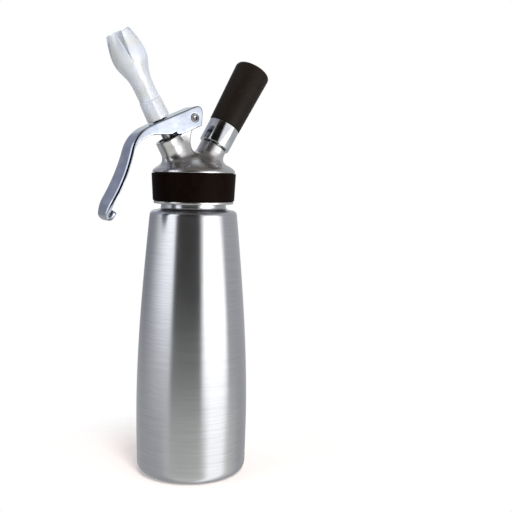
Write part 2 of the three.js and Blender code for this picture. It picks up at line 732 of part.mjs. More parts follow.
function makeNut() {
  const top = -valve.bossLength - seal.offset - seal.rim - seatGap;
  const corner = nut.acrossFlats / Math.sqrt(3);
  const hexagon = bar(corner, top - nut.height, top, 6);
  const hole = bar(stem.tailRadius + seatGap, top - nut.height - cutOverrun, top + cutOverrun, tinySides);
  return meshOf(solid(hexagon).subtract(solid(hole)));
}

/** The tulip's outer line from the top of its collar to its mouth, moved in by the given wall. */
function tulipLine(inset, steps) {
  const n = nozzle;
  const rise = n.bellyHeight - n.waistHeight;
  const fall = n.length - n.bellyHeight;
  const swell = new THREE.CubicBezierCurve(
    new THREE.Vector2(n.waistRadius - inset, n.waistHeight),
    new THREE.Vector2(n.waistRadius - inset, n.waistHeight + rise / 2),
    new THREE.Vector2(n.bellyRadius - inset, n.bellyHeight - rise * n.bellyLeadShare),
    new THREE.Vector2(n.bellyRadius - inset, n.bellyHeight),
  );
  const close = new THREE.CubicBezierCurve(
    new THREE.Vector2(n.bellyRadius - inset, n.bellyHeight),
    new THREE.Vector2(n.bellyRadius - inset, n.bellyHeight + fall / 3),
    new THREE.Vector2((n.bellyRadius + n.mouthRadius) / 2 - inset, n.length - fall / 3),
    new THREE.Vector2(n.mouthRadius - inset, n.length),
  );
  return [...swell.getPoints(steps), ...close.getPoints(steps).slice(1)];
}

function makeNozzle() {
  const n = nozzle;
  const bore = insert.radius + seatGap;
  const insertTop = washer.thickness + insert.length + 3 * seatGap;
  const outside = [
    new THREE.Vector2(bore, 0), new THREE.Vector2(n.collarRadius - n.collarEdge, 0), new THREE.Vector2(n.collarRadius, n.collarEdge),
    new THREE.Vector2(n.collarTopRadius, n.collarLength), new THREE.Vector2(n.collarTopRadius - n.step, n.collarLength + n.step),
    ...tulipLine(0, 4),
  ];
  const inside = [
    ...tulipLine(n.wall, 3).reverse(), new THREE.Vector2(n.throatRadius, n.waistHeight - n.throatRadius),
    new THREE.Vector2(n.throatRadius, insertTop), new THREE.Vector2(bore, insertTop),
  ];
  let body = solid(revolve([...outside, ...inside], mediumSides));
  for (let i = 0; i < n.petals; i += 1) {
    const wedge = new THREE.Shape();
    wedge.moveTo(0, n.length - n.slitLength);
    wedge.lineTo(n.slitWidth / 2, n.length);
    wedge.lineTo(n.slitWidth / 2, n.length + cutOverrun);
    wedge.lineTo(-n.slitWidth / 2, n.length + cutOverrun);
    wedge.lineTo(-n.slitWidth / 2, n.length);
    wedge.closePath();
    const depth = n.bellyRadius + cutOverrun;
    const tool = new THREE.ExtrudeGeometry(wedge, { depth, bevelEnabled: false });
    tool.rotateX(Math.PI / 2);
    tool.rotateZ(n.slitTurn + (i / n.petals) * 2 * Math.PI);
    body = body.subtract(solid(tool));
  }
  return meshOf(body);
}

function makeInsert() {
  const low = washer.thickness + 2 * seatGap;
  return tube(stem.tipRadius + seatGap, insert.radius, low, low + insert.length, smallSides);
}

function makeWasher() {
  return tube(washer.innerRadius, insert.radius, seatGap, seatGap + washer.thickness, smallSides);
}

function makeHolderTube() {
  const h = holder;
  const end = holderBoreDepth + h.endWall;
  return revolve([
    [h.threadRadius, 0], [h.rimRadius - h.edge, 0], [h.rimRadius, h.edge], [h.ringRadius, h.ringLength - h.edge / 2],
    [h.ringRadius - h.edge / 2, h.ringLength], [h.coreRadius, h.ringLength], [h.coreRadius, end], [0, end],
    [0, holderBoreDepth], [h.boreRadius, holderBoreDepth], [h.boreRadius, h.threadDepth], [h.threadRadius, h.threadDepth],
  ], mediumSides);
}

function makeHolderGrip() {
  const tubeEnd = holderBoreDepth + holder.endWall;
  const low = holder.ringLength + seatGap;
  const inner = holder.coreRadius + seatGap;
  const end = tubeEnd + seatGap + grip.endWall;
  const outline = new THREE.Path();
  outline.moveTo(grip.startRadius, low);
  outline.lineTo(grip.endRadius, end - grip.endCorner);
  outline.quadraticCurveTo(grip.endRadius, end - grip.crown, grip.endRadius - grip.endCorner, end);
  outline.quadraticCurveTo(grip.endRadius / 2, end + grip.crown, 0, end + grip.crown);
  const hollowEnd = tubeEnd + seatGap;
  return revolve([
    ...outline.getPoints(4), new THREE.Vector2(0, hollowEnd), new THREE.Vector2(inner, hollowEnd), new THREE.Vector2(inner, low),
  ], mediumSides);
}

/** The bulb's line from its mouth to the middle of its round end, moved in by the given wall. */
function bulbLine(inset) {
  const b = bulb;
  const neck = Math.max(b.neckRadius - inset, b.mouthRadius);
  const shoulder = b.tip + b.neckLength;
  const top = b.tip + b.length;
  const line = new THREE.Path();
  line.moveTo(neck, b.tip + inset);
  line.lineTo(neck, shoulder);
  line.bezierCurveTo(neck, shoulder + b.shoulderLength / 2, b.radius - inset, shoulder + b.shoulderLength / 2, b.radius - inset, shoulder + b.shoulderLength);
  line.lineTo(b.radius - inset, top - b.radius);
  line.absarc(0, top - b.radius, b.radius - inset, 0, Math.PI / 2, false);
  return line.getPoints(3);
}

function makeBulb() {
  const outside = bulbLine(0);
  outside[outside.length - 1].x = 0;
  const inside = bulbLine(bulb.wall);
  inside[inside.length - 1].x = 0;
  const mouth = new THREE.Vector2(bulb.mouthRadius, bulb.tip);
  const shell = solid(revolve([new THREE.Vector2(0, bulb.tip), ...outside], smallSides));
  const hollow = solid(revolve([new THREE.Vector2(0, bulb.tip + bulb.wall), ...inside], smallSides));
  const hole = solid(bar(mouth.x, bulb.tip - cutOverrun, bulb.tip + bulb.neckLength, tinySides));
  return meshOf(shell.subtract(hollow).subtract(hole));
}

const chargerSealTop = bulb.tip - seatGap;
const carrierTop = chargerSealTop - chargerSeal.thickness - seatGap;
const carrierBottom = carrierTop - carrier.length;

function makeChargerSeal() {
  return tube(chargerSeal.innerRadius, chargerSeal.outerRadius, chargerSealTop - chargerSeal.thickness, chargerSealTop, smallSides);
}

function makeCarrier() {
  let body = solid(tube(carrier.holeRadius, carrier.radius, carrierBottom, carrierTop, smallSides));
  for (const side of [-1, 1]) {
    const hole = bar(carrier.gasHoleRadius, carrierBottom - cutOverrun, carrierTop + cutOverrun, tinySides);
    body = body.subtract(solid(hole.translate(0, side * carrier.gasHoleOffset, 0)));
  }
  return meshOf(body);
}

function makeNeedle() {
  const low = carrierBottom + seatGap;
  const tip = low + needle.length;
  return revolve([[0, low], [needle.radius, low], [needle.radius, tip - needle.pointLength], [0, tip]], tinySides);
}

function makeCarrierGasket() {
  const high = carrierBottom - seatGap;
  return tube(carrierGasket.innerRadius, carrier.radius, high - carrierGasket.thickness, high, smallSides);
}

const poppetTop = carrierBottom - seatGap;
const poppetBottom = poppetTop - poppet.height;

function makePoppet() {
  const tail = poppetBottom - poppet.guideLength;
  return revolve([
    [0, tail], [poppet.guideRadius, tail], [poppet.guideRadius, poppetBottom], [poppet.radius, poppetBottom],
    [poppet.radius, poppetTop], [0, poppetTop],
  ], tinySides);
}

// Finishes

const brushedSteel = { color: 0xb9bdc2, roughness: 0.32, metalness: 1 };
const polishedSteel = { color: 0xc6c9cf, roughness: 0.16, metalness: 1 };
const chrome = { color: 0xd3d8e2, roughness: 0.08, metalness: 1 };
const blackSilicone = { color: 0x1c1817, roughness: 0.68, metalness: 0 };
const whiteSilicone = { color: 0xdedbd2, roughness: 0.6, metalness: 0 };
const frostedPlastic = { color: 0xdfe0dc, roughness: 0.38, metalness: 0, transparent: true, opacity: 0.86 };
const brass = { color: 0xbfa468, roughness: 0.3, metalness: 1 };
const springSteel = { color: 0x9a9ea3, roughness: 0.35, metalness: 1 };
const zincSteel = { color: 0xaeb2b6, roughness: 0.3, metalness: 1 };

// Assembly

const dispenser = new THREE.Group();
const valveGroup = new THREE.Group();
valveGroup.applyMatrix4(valveFrame);
const nozzleGroup = new THREE.Group();
nozzleGroup.position.z = nozzleSeat;
valveGroup.add(nozzleGroup);
const portGroup = new THREE.Group();
portGroup.applyMatrix4(portFrame);
const pivotGroup = new THREE.Group();
pivotGroup.position.copy(pivot);
pivotGroup.rotation.x = Math.PI / 2;
dispenser.add(valveGroup, portGroup, pivotGroup);

function place(parent, name, geometry, finish) {
  const mesh = new THREE.Mesh(closed(geometry), new THREE.MeshStandardMaterial(finish));
  mesh.name = name;
  parent.add(mesh);
  return mesh;
}

place(dispenser, 'bottle', makeBottle(), brushedSteel);
place(dispenser, 'head_gasket', makeGasket(), whiteSilicone);
place(dispenser, 'head_casting', makeHead(), polishedSteel);
place(dispenser, 'grip_band', makeBand(), blackSilicone);
place(dispenser, 'lever', makeLever(), chrome);
place(pivotGroup, 'lever_pin', makePinHalf(-pin.split), polishedSteel);
const screwHalf = place(pivotGroup, 'lever_pin_screw', makePinHalf(pin.split + seatGap), polishedSteel);
screwHalf.rotation.x = Math.PI;

place(valveGroup, 'valve_bush', makeBush(), zincSteel);
place(valveGroup, 'bush_gasket', makeBushSeal(), blackSilicone);
place(valveGroup, 'valve_stem', makeStem(), polishedSteel);
place(valveGroup, 'stem_o_ring', makeStemRing(), blackSilicone);
const valveSpringLength = valve.floorDepth - stem.pistonBottom - 2 * seatGap;
const valveCoil = place(valveGroup, 'valve_spring', coil(valveSpring, valveSpringLength, 'valve_spring'), springSteel);
valveCoil.position.z = seatGap - valve.floorDepth;
place(valveGroup, 'valve_seal', makeSeal(), blackSilicone);
place(valveGroup, 'stem_nut', makeNut(), brass);
place(nozzleGroup, 'nozzle_washer', makeWasher(), whiteSilicone);
place(nozzleGroup, 'nozzle_insert', makeInsert(), polishedSteel);
place(nozzleGroup, 'decorator_nozzle', makeNozzle(), frostedPlastic);

place(portGroup, 'holder_tube', makeHolderTube(), chrome);
place(portGroup, 'holder_grip', makeHolderGrip(), blackSilicone);
place(portGroup, 'charger_bulb', makeBulb(), zincSteel);
place(portGroup, 'charger_seal', makeChargerSeal(), blackSilicone);
place(portGroup, 'pin_carrier', makeCarrier(), brass);
place(portGroup, 'piercing_pin', makeNeedle(), springSteel);
place(portGroup, 'carrier_gasket', makeCarrierGasket(), blackSilicone);
place(portGroup, 'check_poppet', makePoppet(), whiteSilicone);
const checkSpringLength = port.chamberDepth + poppetBottom - 2 * seatGap;
const checkCoil = place(portGroup, 'check_spring', coil(checkSpring, checkSpringLength, 'check_spring'), springSteel);
checkCoil.position.z = seatGap - port.chamberDepth;

console.log(`pivot at ${pivot.x.toFixed(2)}, ${pivot.z.toFixed(2)}; arm ${pivotArm.toFixed(3)} mm; lever turns `
  + `${THREE.MathUtils.radToDeg(leverTurn).toFixed(3)} degrees for ${valve.travel} mm`);

export default dispenser;
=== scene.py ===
"""Looks of a whipped cream dispenser: spun bottle, cast head, lever, tulip nozzle and charger holder.

Lengths are millimetres with +Z up, in the part's own frame, and become metres where a mesh is made.
Turned pieces are outlines of (radius, height) swept round an axis. Cast and moulded pieces are the
zero surface of a distance field, so that their fillets run into each other as a mould leaves them.
"""

from __future__ import annotations

import json
import logging
import math
from collections.abc import Callable, Sequence
from dataclasses import dataclass
from enum import Enum
from typing import Any

import bmesh
import bpy
import numpy as np
from mathutils import Matrix, Vector

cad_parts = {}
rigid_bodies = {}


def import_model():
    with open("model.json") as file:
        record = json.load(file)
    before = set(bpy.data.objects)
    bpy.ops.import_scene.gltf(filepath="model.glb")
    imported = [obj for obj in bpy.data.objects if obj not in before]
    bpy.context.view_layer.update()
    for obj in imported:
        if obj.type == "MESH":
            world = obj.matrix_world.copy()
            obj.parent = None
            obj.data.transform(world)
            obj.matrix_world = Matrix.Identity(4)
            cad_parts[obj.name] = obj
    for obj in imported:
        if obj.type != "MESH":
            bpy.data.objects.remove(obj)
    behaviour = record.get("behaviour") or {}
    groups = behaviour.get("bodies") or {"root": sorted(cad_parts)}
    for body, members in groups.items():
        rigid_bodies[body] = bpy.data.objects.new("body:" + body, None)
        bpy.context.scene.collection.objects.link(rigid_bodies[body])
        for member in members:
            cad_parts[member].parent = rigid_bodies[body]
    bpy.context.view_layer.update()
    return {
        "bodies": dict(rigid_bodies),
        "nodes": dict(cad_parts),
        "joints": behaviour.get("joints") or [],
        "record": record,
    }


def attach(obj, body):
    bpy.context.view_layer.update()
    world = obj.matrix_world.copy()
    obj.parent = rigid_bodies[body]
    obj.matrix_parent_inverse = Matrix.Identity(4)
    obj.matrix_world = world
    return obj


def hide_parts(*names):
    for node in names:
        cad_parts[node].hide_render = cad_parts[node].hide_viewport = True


LOG = logging.getLogger("dispenser")
MM = 0.001
TOUCHING = 1e-12  # square of the distance below which two corners of an outline are one
CREASE = math.radians(32)
NEARLY_STRAIGHT = math.radians(88)  # half a corner's angle from which on it needs no arc
SIDE_SHARE = 0.48  # of a corner's side that its arc may take
LEAST_SLOPE = 0.2  # square of the gradient below which a Newton step would be too long
GAP = 0.3  # between a piece and the seat that it lies in

Colour = tuple[float, float, float, float]
Point = tuple[float, float]
Outline = np.ndarray | Sequence[Point]
Bar = tuple[float, ...]  # radius, bottom and top along an axis, and how round the rims are
Socket = bpy.types.NodeSocket
Field = Callable[[np.ndarray, np.ndarray, np.ndarray], np.ndarray]  # distance from x, y, z
Swell = Callable[[np.ndarray, np.ndarray, np.ndarray], np.ndarray]  # from angle, radius, height


# Colours and nodes


def linear(code: str) -> Colour:
    """The linear colour of an sRGB hex code."""
    shares = [int(code[i : i + 2], 16) / 255 for i in (1, 3, 5)]
    return (*[s / 12.92 if s <= 0.04045 else ((s + 0.055) / 1.055) ** 2.4 for s in shares], 1.0)


def add_node(
    tree: bpy.types.NodeTree, kind: str, inputs: dict | None = None, **settings: Any
) -> bpy.types.Node:
    """Adds one shader node.

    Args:
        tree: the node tree.
        kind: the node's type.
        inputs: socket name or number to a value, or to another node's output, which is linked.
        settings: the node's own properties.

    Returns:
        The node.
    """
    node = tree.nodes.new(kind)
    for name, value in settings.items():
        setattr(node, name, value)
    for key, value in (inputs or {}).items():
        if isinstance(value, Socket):
            tree.links.new(value, node.inputs[key])
        else:
            node.inputs[key].default_value = value
    return node


class Recipe:
    """A material being put together round its shader."""

    def __init__(self, name: str) -> None:
        """Starts the material.

        Args:
            name: the material's.
        """
        self.material = bpy.data.materials.new(name)
        self.material.use_nodes = True
        self.tree = self.material.node_tree
        self.place = add_node(self.tree, "ShaderNodeTexCoord").outputs["Object"]

    def set(self, **sockets: Any) -> None:
        """Links or sets sockets of the shader.

        Args:
            sockets: the shader's sockets, with _ for a space, and a value or a socket for each.
        """
        shader = self.tree.nodes["Principled BSDF"]
        for socket, value in sockets.items():
            target = shader.inputs[socket.replace("_", " ")]
            if isinstance(value, Socket):
                self.tree.links.new(value, target)
            else:
                target.default_value = value


@dataclass(frozen=True)
class Grain:
    """Noise on Object coordinates, its spots of a real size along X, Y and Z in millimetres."""

    size: tuple[float, float, float]
    detail: float = 3.0
    rough: float = 0.55


@dataclass(frozen=True)
class Change:
    """A number that goes from low to high as a grain goes from start to end."""

    grain: Grain
    low: float = 0.0
    high: float = 1.0
    start: float = 0.3
    end: float = 0.7


@dataclass(frozen=True)
class Relief:
    """A grain raised by a depth in millimetres, and the share of it that is felt."""

    grain: Grain
    depth: float
    strength: float = 1.0


def dress(recipe: Recipe, colours: tuple[str, str], tint: Change, shine: Change, *relief: Relief) -> None:
    """Makes a material's colour, roughness and relief follow grains.

    Args:
        recipe: the material.
        colours: two sRGB codes, where the tint is nought and where it is one.
        tint: how far the colour is from the first to the second.
        shine: the roughness.
        relief: what is raised, each on the one before.
    """
    tree, noises = recipe.tree, {}
    for grain in dict.fromkeys([tint.grain, shine.grain, *(layer.grain for layer in relief)]):
        scale = tuple(1 / (size * MM) for size in grain.size)
        spread = add_node(tree, "ShaderNodeMapping", {"Vector": recipe.place, "Scale": scale}).outputs[0]
        inputs = {"Vector": spread, "Scale": 1.0, "Detail": grain.detail, "Roughness": grain.rough}
        noises[grain] = add_node(tree, "ShaderNodeTexNoise", inputs).outputs[0]
    shares = []
    for change in (tint, shine):
        inputs = {"Value": noises[change.grain], "From Min": change.start, "From Max": change.end}
        inputs |= {"To Min": change.low, "To Max": change.high}
        shares.append(add_node(tree, "ShaderNodeMapRange", inputs).outputs[0])
    inputs = {0: shares[0], 6: linear(colours[0]), 7: linear(colours[1])}
    colour = add_node(tree, "ShaderNodeMix", inputs, data_type="RGBA").outputs[2]
    normal = {}
    for layer in relief:
        inputs = {"Height": noises[layer.grain], "Distance": layer.depth * MM, "Strength": layer.strength}
        normal = {"Normal": add_node(tree, "ShaderNodeBump", inputs | normal).outputs[0]}
    recipe.set(Base_Color=colour, Roughness=shares[1], **normal)


# Finishes


@dataclass(frozen=True)
class BrushedSteel:
    """Stainless steel spun and brushed round its axis.

    The fine scratches run round the piece, so a highlight is drawn out along it while the edges of
    light and dark stay nearly crisp from side to side.
    """

    name: str
    light: str = "#C4C5C8"
    dark: str = "#B4B5B9"
    roughness: float = 0.24
    anisotropy: float = 0.75
    scratch: tuple[float, float, float] = (30.0, 30.0, 0.35)  # far finer in truth; this much shows
    scratch_depth: float = 0.004
    cloud: tuple[float, float, float] = (45.0, 45.0, 60.0)

    def material(self) -> bpy.types.Material:
        """Mixes the finish.

        Returns:
            The material.
        """
        recipe = Recipe(self.name)
        scratches = Grain(self.scratch, detail=5.0)
        shine = Change(Grain(self.cloud, detail=2.0), self.roughness - 0.02, self.roughness + 0.03)
        relief = Relief(scratches, self.scratch_depth, 0.35)
        dress(recipe, (self.dark, self.light), Change(scratches), shine, relief)
        inputs = {0: (0.0, 0.0, 1.0), 1: recipe.place}
        round_it = add_node(recipe.tree, "ShaderNodeVectorMath", inputs, operation="CROSS_PRODUCT")
        recipe.set(Metallic=1.0, Anisotropic=self.anisotropy, Anisotropic_Rotation=0.25)
        recipe.set(Tangent=round_it.outputs[0])
        return recipe.material


@dataclass(frozen=True)
class PolishedCasting:
    """Steel cast and polished by hand: bright, with the slight waves that a polishing wheel leaves."""

    name: str
    light: str = "#D2D0D2"
    dark: str = "#BDBAB8"
    roughness: float = 0.27
    wave: float = 9.0
    wave_depth: float = 0.012
    grit: float = 1.1
    grit_depth: float = 0.004
    haze: float = 16.0

    def material(self) -> bpy.types.Material:
        """Mixes the finish.

        Returns:
            The material.
        """
        recipe = Recipe(self.name)
        waves = Relief(Grain((self.wave,) * 3, detail=1.0), self.wave_depth)
        grit = Relief(Grain((self.grit,) * 3, detail=4.0), self.grit_depth, 0.5)
        haze = Grain((self.haze,) * 3)
        shine = Change(haze, self.roughness - 0.03, self.roughness + 0.05)
        dress(recipe, (self.dark, self.light), Change(haze), shine, waves, grit)
        recipe.set(Metallic=1.0)
        return recipe.material


@dataclass(frozen=True)
class ChromePlate:
    """Bright chrome over turned or cast metal: nearly a mirror, with a faint cold tint.

    Over a casting the plate follows the waves of the metal under it, and hands dull it in patches.
    """

    name: str
    bright: str = "#D0D2D6"
    dull: str = "#C4C6CB"
    roughness: float = 0.06
    wave: float = 7.0
    wave_depth: float = 0.006
    smear: tuple[float, float, float] = (13.0, 13.0, 8.0)

    def material(self) -> bpy.types.Material:
        """Mixes the finish.

        Returns:
            The material.
        """
        recipe = Recipe(self.name)
        waves = Relief(Grain((self.wave,) * 3, detail=1.0), self.wave_depth)
        smear = Grain(self.smear)
        shine = Change(smear, self.roughness, self.roughness + 0.05)
        dress(recipe, (self.dull, self.bright), Change(smear, start=0.38, end=0.66), shine, waves)
        recipe.set(Metallic=1.0)
        return recipe.material


@dataclass(frozen=True)
class TurnedMetal:
    """Metal straight from the lathe or the drawing die, with fine rings and a dull gleam."""

    name: str
    colour: str = "#B7B8BA"
    stained: str = "#7F7D7A"
    roughness: float = 0.28
    ring: float = 0.25
    ring_width: float = 20.0
    ring_depth: float = 0.01
    stain: float = 5.0

    def material(self) -> bpy.types.Material:
        """Mixes the finish.

        Returns:
            The material.
        """
        recipe = Recipe(self.name)
        rings = Grain((self.ring_width, self.ring_width, self.ring), detail=2.0)
        tint = Change(Grain((self.stain,) * 3), high=0.35)
        shine = Change(rings, self.roughness - 0.05, self.roughness + 0.08)
        dress(recipe, (self.colour, self.stained), tint, shine, Relief(rings, self.ring_depth, 0.4))
        recipe.set(Metallic=1.0)
        return recipe.material


@dataclass(frozen=True)
class MouldedSilicone:
    """Silicone rubber from a blasted mould: matte, with a soft wide gleam and a fine even grain."""

    name: str
    colour: str = "#171311"
    worn: str = "#241F1C"
    roughness: float = 0.56
    grain: float = 0.35
    grain_depth: float = 0.05
    dust: float = 6.0
    specular: float = 0.28

    def material(self) -> bpy.types.Material:
        """Mixes the finish.

        Returns:
            The material.
        """
        recipe = Recipe(self.name)
        grain = Relief(Grain((self.grain,) * 3, detail=2.0), self.grain_depth, 0.15)
        dust = Grain((self.dust,) * 3, detail=5.0, rough=0.7)
        tint = Change(dust, high=0.7, start=0.45, end=0.8)
        shine = Change(dust, self.roughness, self.roughness + 0.08)
        dress(recipe, (self.colour, self.worn), tint, shine, grain)
        recipe.set(Specular_IOR_Level=self.specular)
        return recipe.material


@dataclass(frozen=True)
class MouldedPolypropylene:
    """Milky polypropylene: light goes in, scatters and comes out softly, under a glossy skin."""

    name: str
    colour: str = "#E3E9FA"
    shade: str = "#DCDCD6"
    roughness: float = 0.3
    transmission: float = 0.45
    scatter: float = 3.0
    cloud: float = 11.0
    flow: tuple[float, float, float] = (3.0, 3.0, 16.0)
    flow_depth: float = 0.003

    def material(self) -> bpy.types.Material:
        """Mixes the finish.

        Returns:
            The material.
        """
        recipe = Recipe(self.name)
        flow = Grain(self.flow, detail=2.0)
        tint = Change(Grain((self.cloud,) * 3))
        shine = Change(flow, self.roughness - 0.03, self.roughness + 0.05)
        dress(recipe, (self.colour, self.shade), tint, shine, Relief(flow, self.flow_depth, 0.5))
        recipe.set(
            IOR=1.46,
            Transmission_Weight=self.transmission,
            Subsurface_Weight=0.3,
            Subsurface_Scale=self.scatter * MM,
            Subsurface_Radius=(1.0, 1.0, 0.95),
            Specular_IOR_Level=0.7,
            Coat_Weight=1.0,
            Coat_IOR=2.0,
            Coat_Roughness=0.17,
        )
        return recipe.material


class Material(Enum):
    """Every finish in use. The value is the finish, and the name says where it is."""

    BOTTLE = BrushedSteel("bottle_spun_steel")
    HEAD = PolishedCasting("head_cast_steel")
    LEVER = ChromePlate("lever_cast_chrome", "#B9BEC9", "#A2A9B7", 0.12, wave=12.0, wave_depth=0.09)
    HOLDER = ChromePlate("holder_turned_chrome", roughness=0.12, wave_depth=0.002)
    PIN = ChromePlate("pin_turned_steel", "#8B898A", "#747273", 0.08, wave_depth=0.0)
    # The bush's near-black colour is painted shade: it stands for the shaded gap between boss and lever.
    BUSH_PAINTED_SHADE = TurnedMetal("bush_turned_steel_painted_shade", colour="#343231", roughness=0.35)
    # The stem's darkened steel colour is partly painted shade for the gap between boss and lever; the port
    # spigot and nozzle insert share it.
    STEM_PAINTED_SHADE = TurnedMetal("stem_turned_steel_painted_shade", colour="#7B7C7E", roughness=0.27)
    SPRING = TurnedMetal("spring_drawn_wire", colour="#A3A6AA", roughness=0.26)
    BULB = TurnedMetal("bulb_zinc_plate", colour="#AEB2B8", roughness=0.32, ring=2.0)
    BRASS = TurnedMetal("brass_turned", colour="#C7A567", roughness=0.27)
    BAND = MouldedSilicone("band_moulded_silicone", "#0C0503", "#150D0A", 0.45, specular=0.02)
    GRIP = MouldedSilicone("grip_moulded_silicone", "#191411", "#241D19", 0.42, specular=0.08)
    SEAL = MouldedSilicone("seal_moulded_rubber", "#1B1B1B", "#262626", 0.5)
    GASKET = MouldedSilicone("gasket_moulded_silicone", "#DAD6CC", "#E6E3DB", 0.45)
    NOZZLE = MouldedPolypropylene("nozzle_polypropylene")

    def build(self) -> bpy.types.Material:
        """The material, which is made at its first use."""
        made = bpy.data.materials.get(self.value.name)
        return made or self.value.material()


# Outlines in two dimensions


def arc(x: float, y: float, radius: float, start: float, end: float, steps: int = 8) -> np.ndarray:
    """Points centre + radius (cos a, sin a) as a goes from start to end, in degrees."""
    angle = np.radians(np.linspace(start, end, steps + 1))
    return np.column_stack([x + radius * np.cos(angle), y + radius * np.sin(angle)])


def bezier(points: Outline, steps: int = 12) -> np.ndarray:
    """Points of the Bezier curve sum of choose(n, i) (1 - t)^(n - i) t^i p_i.

    Args:
        points: its n + 1 control points p_i.
        steps: in how many steps t goes from 0 to 1.

    Returns:
        The points (steps + 1, 2).
    """
    points = np.asarray(points, float)
    degree = len(points) - 1
    t = np.linspace(0, 1, steps + 1)[:, None]
    return sum(math.comb(degree, i) * (1 - t) ** (degree - i) * t**i * p for i, p in enumerate(points))


def rounded(
    outline: Outline, radius: float | Sequence[float], steps: int = 4, closed: bool = True
) -> np.ndarray:
    """Replaces each corner by an arc that touches both its sides.

    The arc of radius r starts r / tan(half the corner's angle) before the corner, and its centre
    lies r / sin(half the angle) from it.

    Args:
        outline: points (n, 2).
        radius: one radius, or one for each corner; zero keeps the corner.
        steps: chords in each arc.
        closed: whether the last point joins the first.

    Returns:
        The points of the rounded outline.
    """
    points = np.asarray(outline, float)
    radii = np.broadcast_to(np.asarray(radius, float), len(points))
    made = []
    for i, corner in enumerate(points):
        before = points[i - 1] - corner
        after = points[(i + 1) % len(points)] - corner
        far = [np.linalg.norm(before), np.linalg.norm(after)]
        end = not closed and i in (0, len(points) - 1)
        if end or radii[i] == 0 or min(far) == 0:
            made.append(corner[None])
            continue
        before, after = before / far[0], after / far[1]
        half = math.acos(float(np.clip(before @ after, -1, 1))) / 2
        if half > NEARLY_STRAIGHT:
            made.append(corner[None])
            continue
        reach = min(radii[i] / math.tan(half), SIDE_SHARE * min(far))
        size = reach * math.tan(half)
        middle = before + after
        centre = corner + middle / np.linalg.norm(middle) * size / math.sin(half)
        first, last = corner + before * reach - centre, corner + after * reach - centre
        start = math.atan2(first[1], first[0])
        turn = (math.atan2(last[1], last[0]) - start + math.pi) % (2 * math.pi) - math.pi
        made.append(arc(*centre, size, math.degrees(start), math.degrees(start + turn), steps))
    return np.concatenate(made)


def finer(line: Outline, step: float) -> np.ndarray:
    """The same line with more points.

    Args:
        line: points (n, 2).
        step: the largest distance between two of the new points.

    Returns:
        The points, the old ones among them.
    """
    line = np.asarray(line, float)
    made = [line[:1]]
    for a, b in zip(line, line[1:]):
        count = max(1, math.ceil(float(np.linalg.norm(b - a)) / step))
        share = np.linspace(0, 1, count + 1)[1:, None]
        made.append(a + (b - a) * share)
    return np.concatenate(made)


def washer(inner: float, outer: float, low: float, high: float, edge: float) -> np.ndarray:
    """The section of a flat ring with rounded edges."""
    return rounded([(inner, low), (outer, low), (outer, high), (inner, high)], edge)


def stairs(bottom: float, steps: Sequence[Point]) -> list[Point]:
    """The corners of a turned bar, from its bottom and each step's radius and top.

    Args:
        bottom: the height where the first step starts.
        steps: (radius, top) of each.

    Returns:
        The corners (radius, height), two for each step.
    """
    lows = [bottom, *(top for _, top in steps[:-1])]
    return [(radius, height) for (radius, top), low in zip(steps, lows) for height in (low, top)]


# Surfaces


@dataclass
class Surface:
    """Points, faces and, where a field gave them, exact normals."""

    points: np.ndarray
    faces: list[np.ndarray]
    normals: np.ndarray | None = None

    def placed(self, frame: Matrix) -> "Surface":
        """The surface moved and turned.

        Args:
            frame: where its zero and axes come to lie.

        Returns:
            The new surface.
        """
        turn = np.array(frame)[:3, :3]
        normals = None if self.normals is None else self.normals @ turn.T
        return Surface(self.points @ turn.T + np.array(frame)[:3, 3], self.faces, normals)

    def facing_out(self) -> "Surface":
        """Turns the faces so that the volume, the sum of a . (b x c), is positive.

        Returns:
            The surface itself.
        """
        total = 0.0
        for faces in self.faces:
            a = self.points[faces[:, 0]]
            for k in range(1, faces.shape[1] - 1):
                b, c = self.points[faces[:, k]], self.points[faces[:, k + 1]]
                total += float(np.einsum("ij,ij->", a, np.cross(b, c)))
        if total < 0:
            self.faces = [f[:, ::-1] for f in self.faces]
        return self


def revolve(
    outline: np.ndarray, sides: int = 128, closed: bool = False, swell: Swell | None = None
) -> Surface:
    """Turns an outline about Z: the point (r + s) cos a, (r + s) sin a, z for each angle a.

    Args:
        outline: points (radius, height).
        sides: how many angles.
        closed: whether the outline is a loop that does not meet the axis.
        swell: gives s, added to the radius, from the angle, radius and height.

    Returns:
        The surface.
    """
    angle = np.arange(sides) * 2 * np.pi / sides
    count = len(outline)
    radius = np.repeat(outline[:, :1], sides, axis=1)
    height = np.repeat(outline[:, 1:], sides, axis=1)
    if swell is not None:
        radius = radius + swell(angle[None, :], radius, height)
    points = np.stack([radius * np.cos(angle), radius * np.sin(angle), height], axis=-1).reshape(-1, 3)
    row = np.arange(count if closed else count - 1)[:, None] * sides
    upper = (row + sides) % (count * sides)
    here = np.arange(sides)[None, :]
    after = (here + 1) % sides
    quads = np.stack([row + here, row + after, upper + after, upper + here], axis=-1).reshape(-1, 4)
    return Surface(points, [quads]).facing_out()


def helix(pitch: float, low: float, high: float, depth: float, fade: float = 1.5) -> Swell:
    """A thread's swell: depth times min(max(c - s |p - 1/2|, 0), 1).

    Here p is the part of z / pitch - a / 2 pi past a whole number, c = 1.6 sets the width of the
    crest and s = 4.2 the steepness of the flanks.

    Args:
        pitch: the height between two turns.
        low: where the thread starts.
        high: where it ends.
        depth: how far it stands out.
        fade: over which height it grows and dies out.

    Returns:
        The swell.
    """
    crest, flank = 1.6, 4.2

    def swell(angle: np.ndarray, radius: np.ndarray, height: np.ndarray) -> np.ndarray:
        """The thread's height.

        Args:
            angle: round the axis, of each point.
            radius: of each point.
            height: of each point.

        Returns:
            What is added to the radius.
        """
        phase = (height / pitch - angle / (2 * np.pi)) % 1.0
        ridge = np.clip(crest - flank * np.abs(phase - 0.5), 0, 1)
        ends = np.clip((height - low) / fade, 0, 1) * np.clip((high - height) / fade, 0, 1)
        return depth * ridge * ends * (radius > 0)

    return swell


# Distance fields


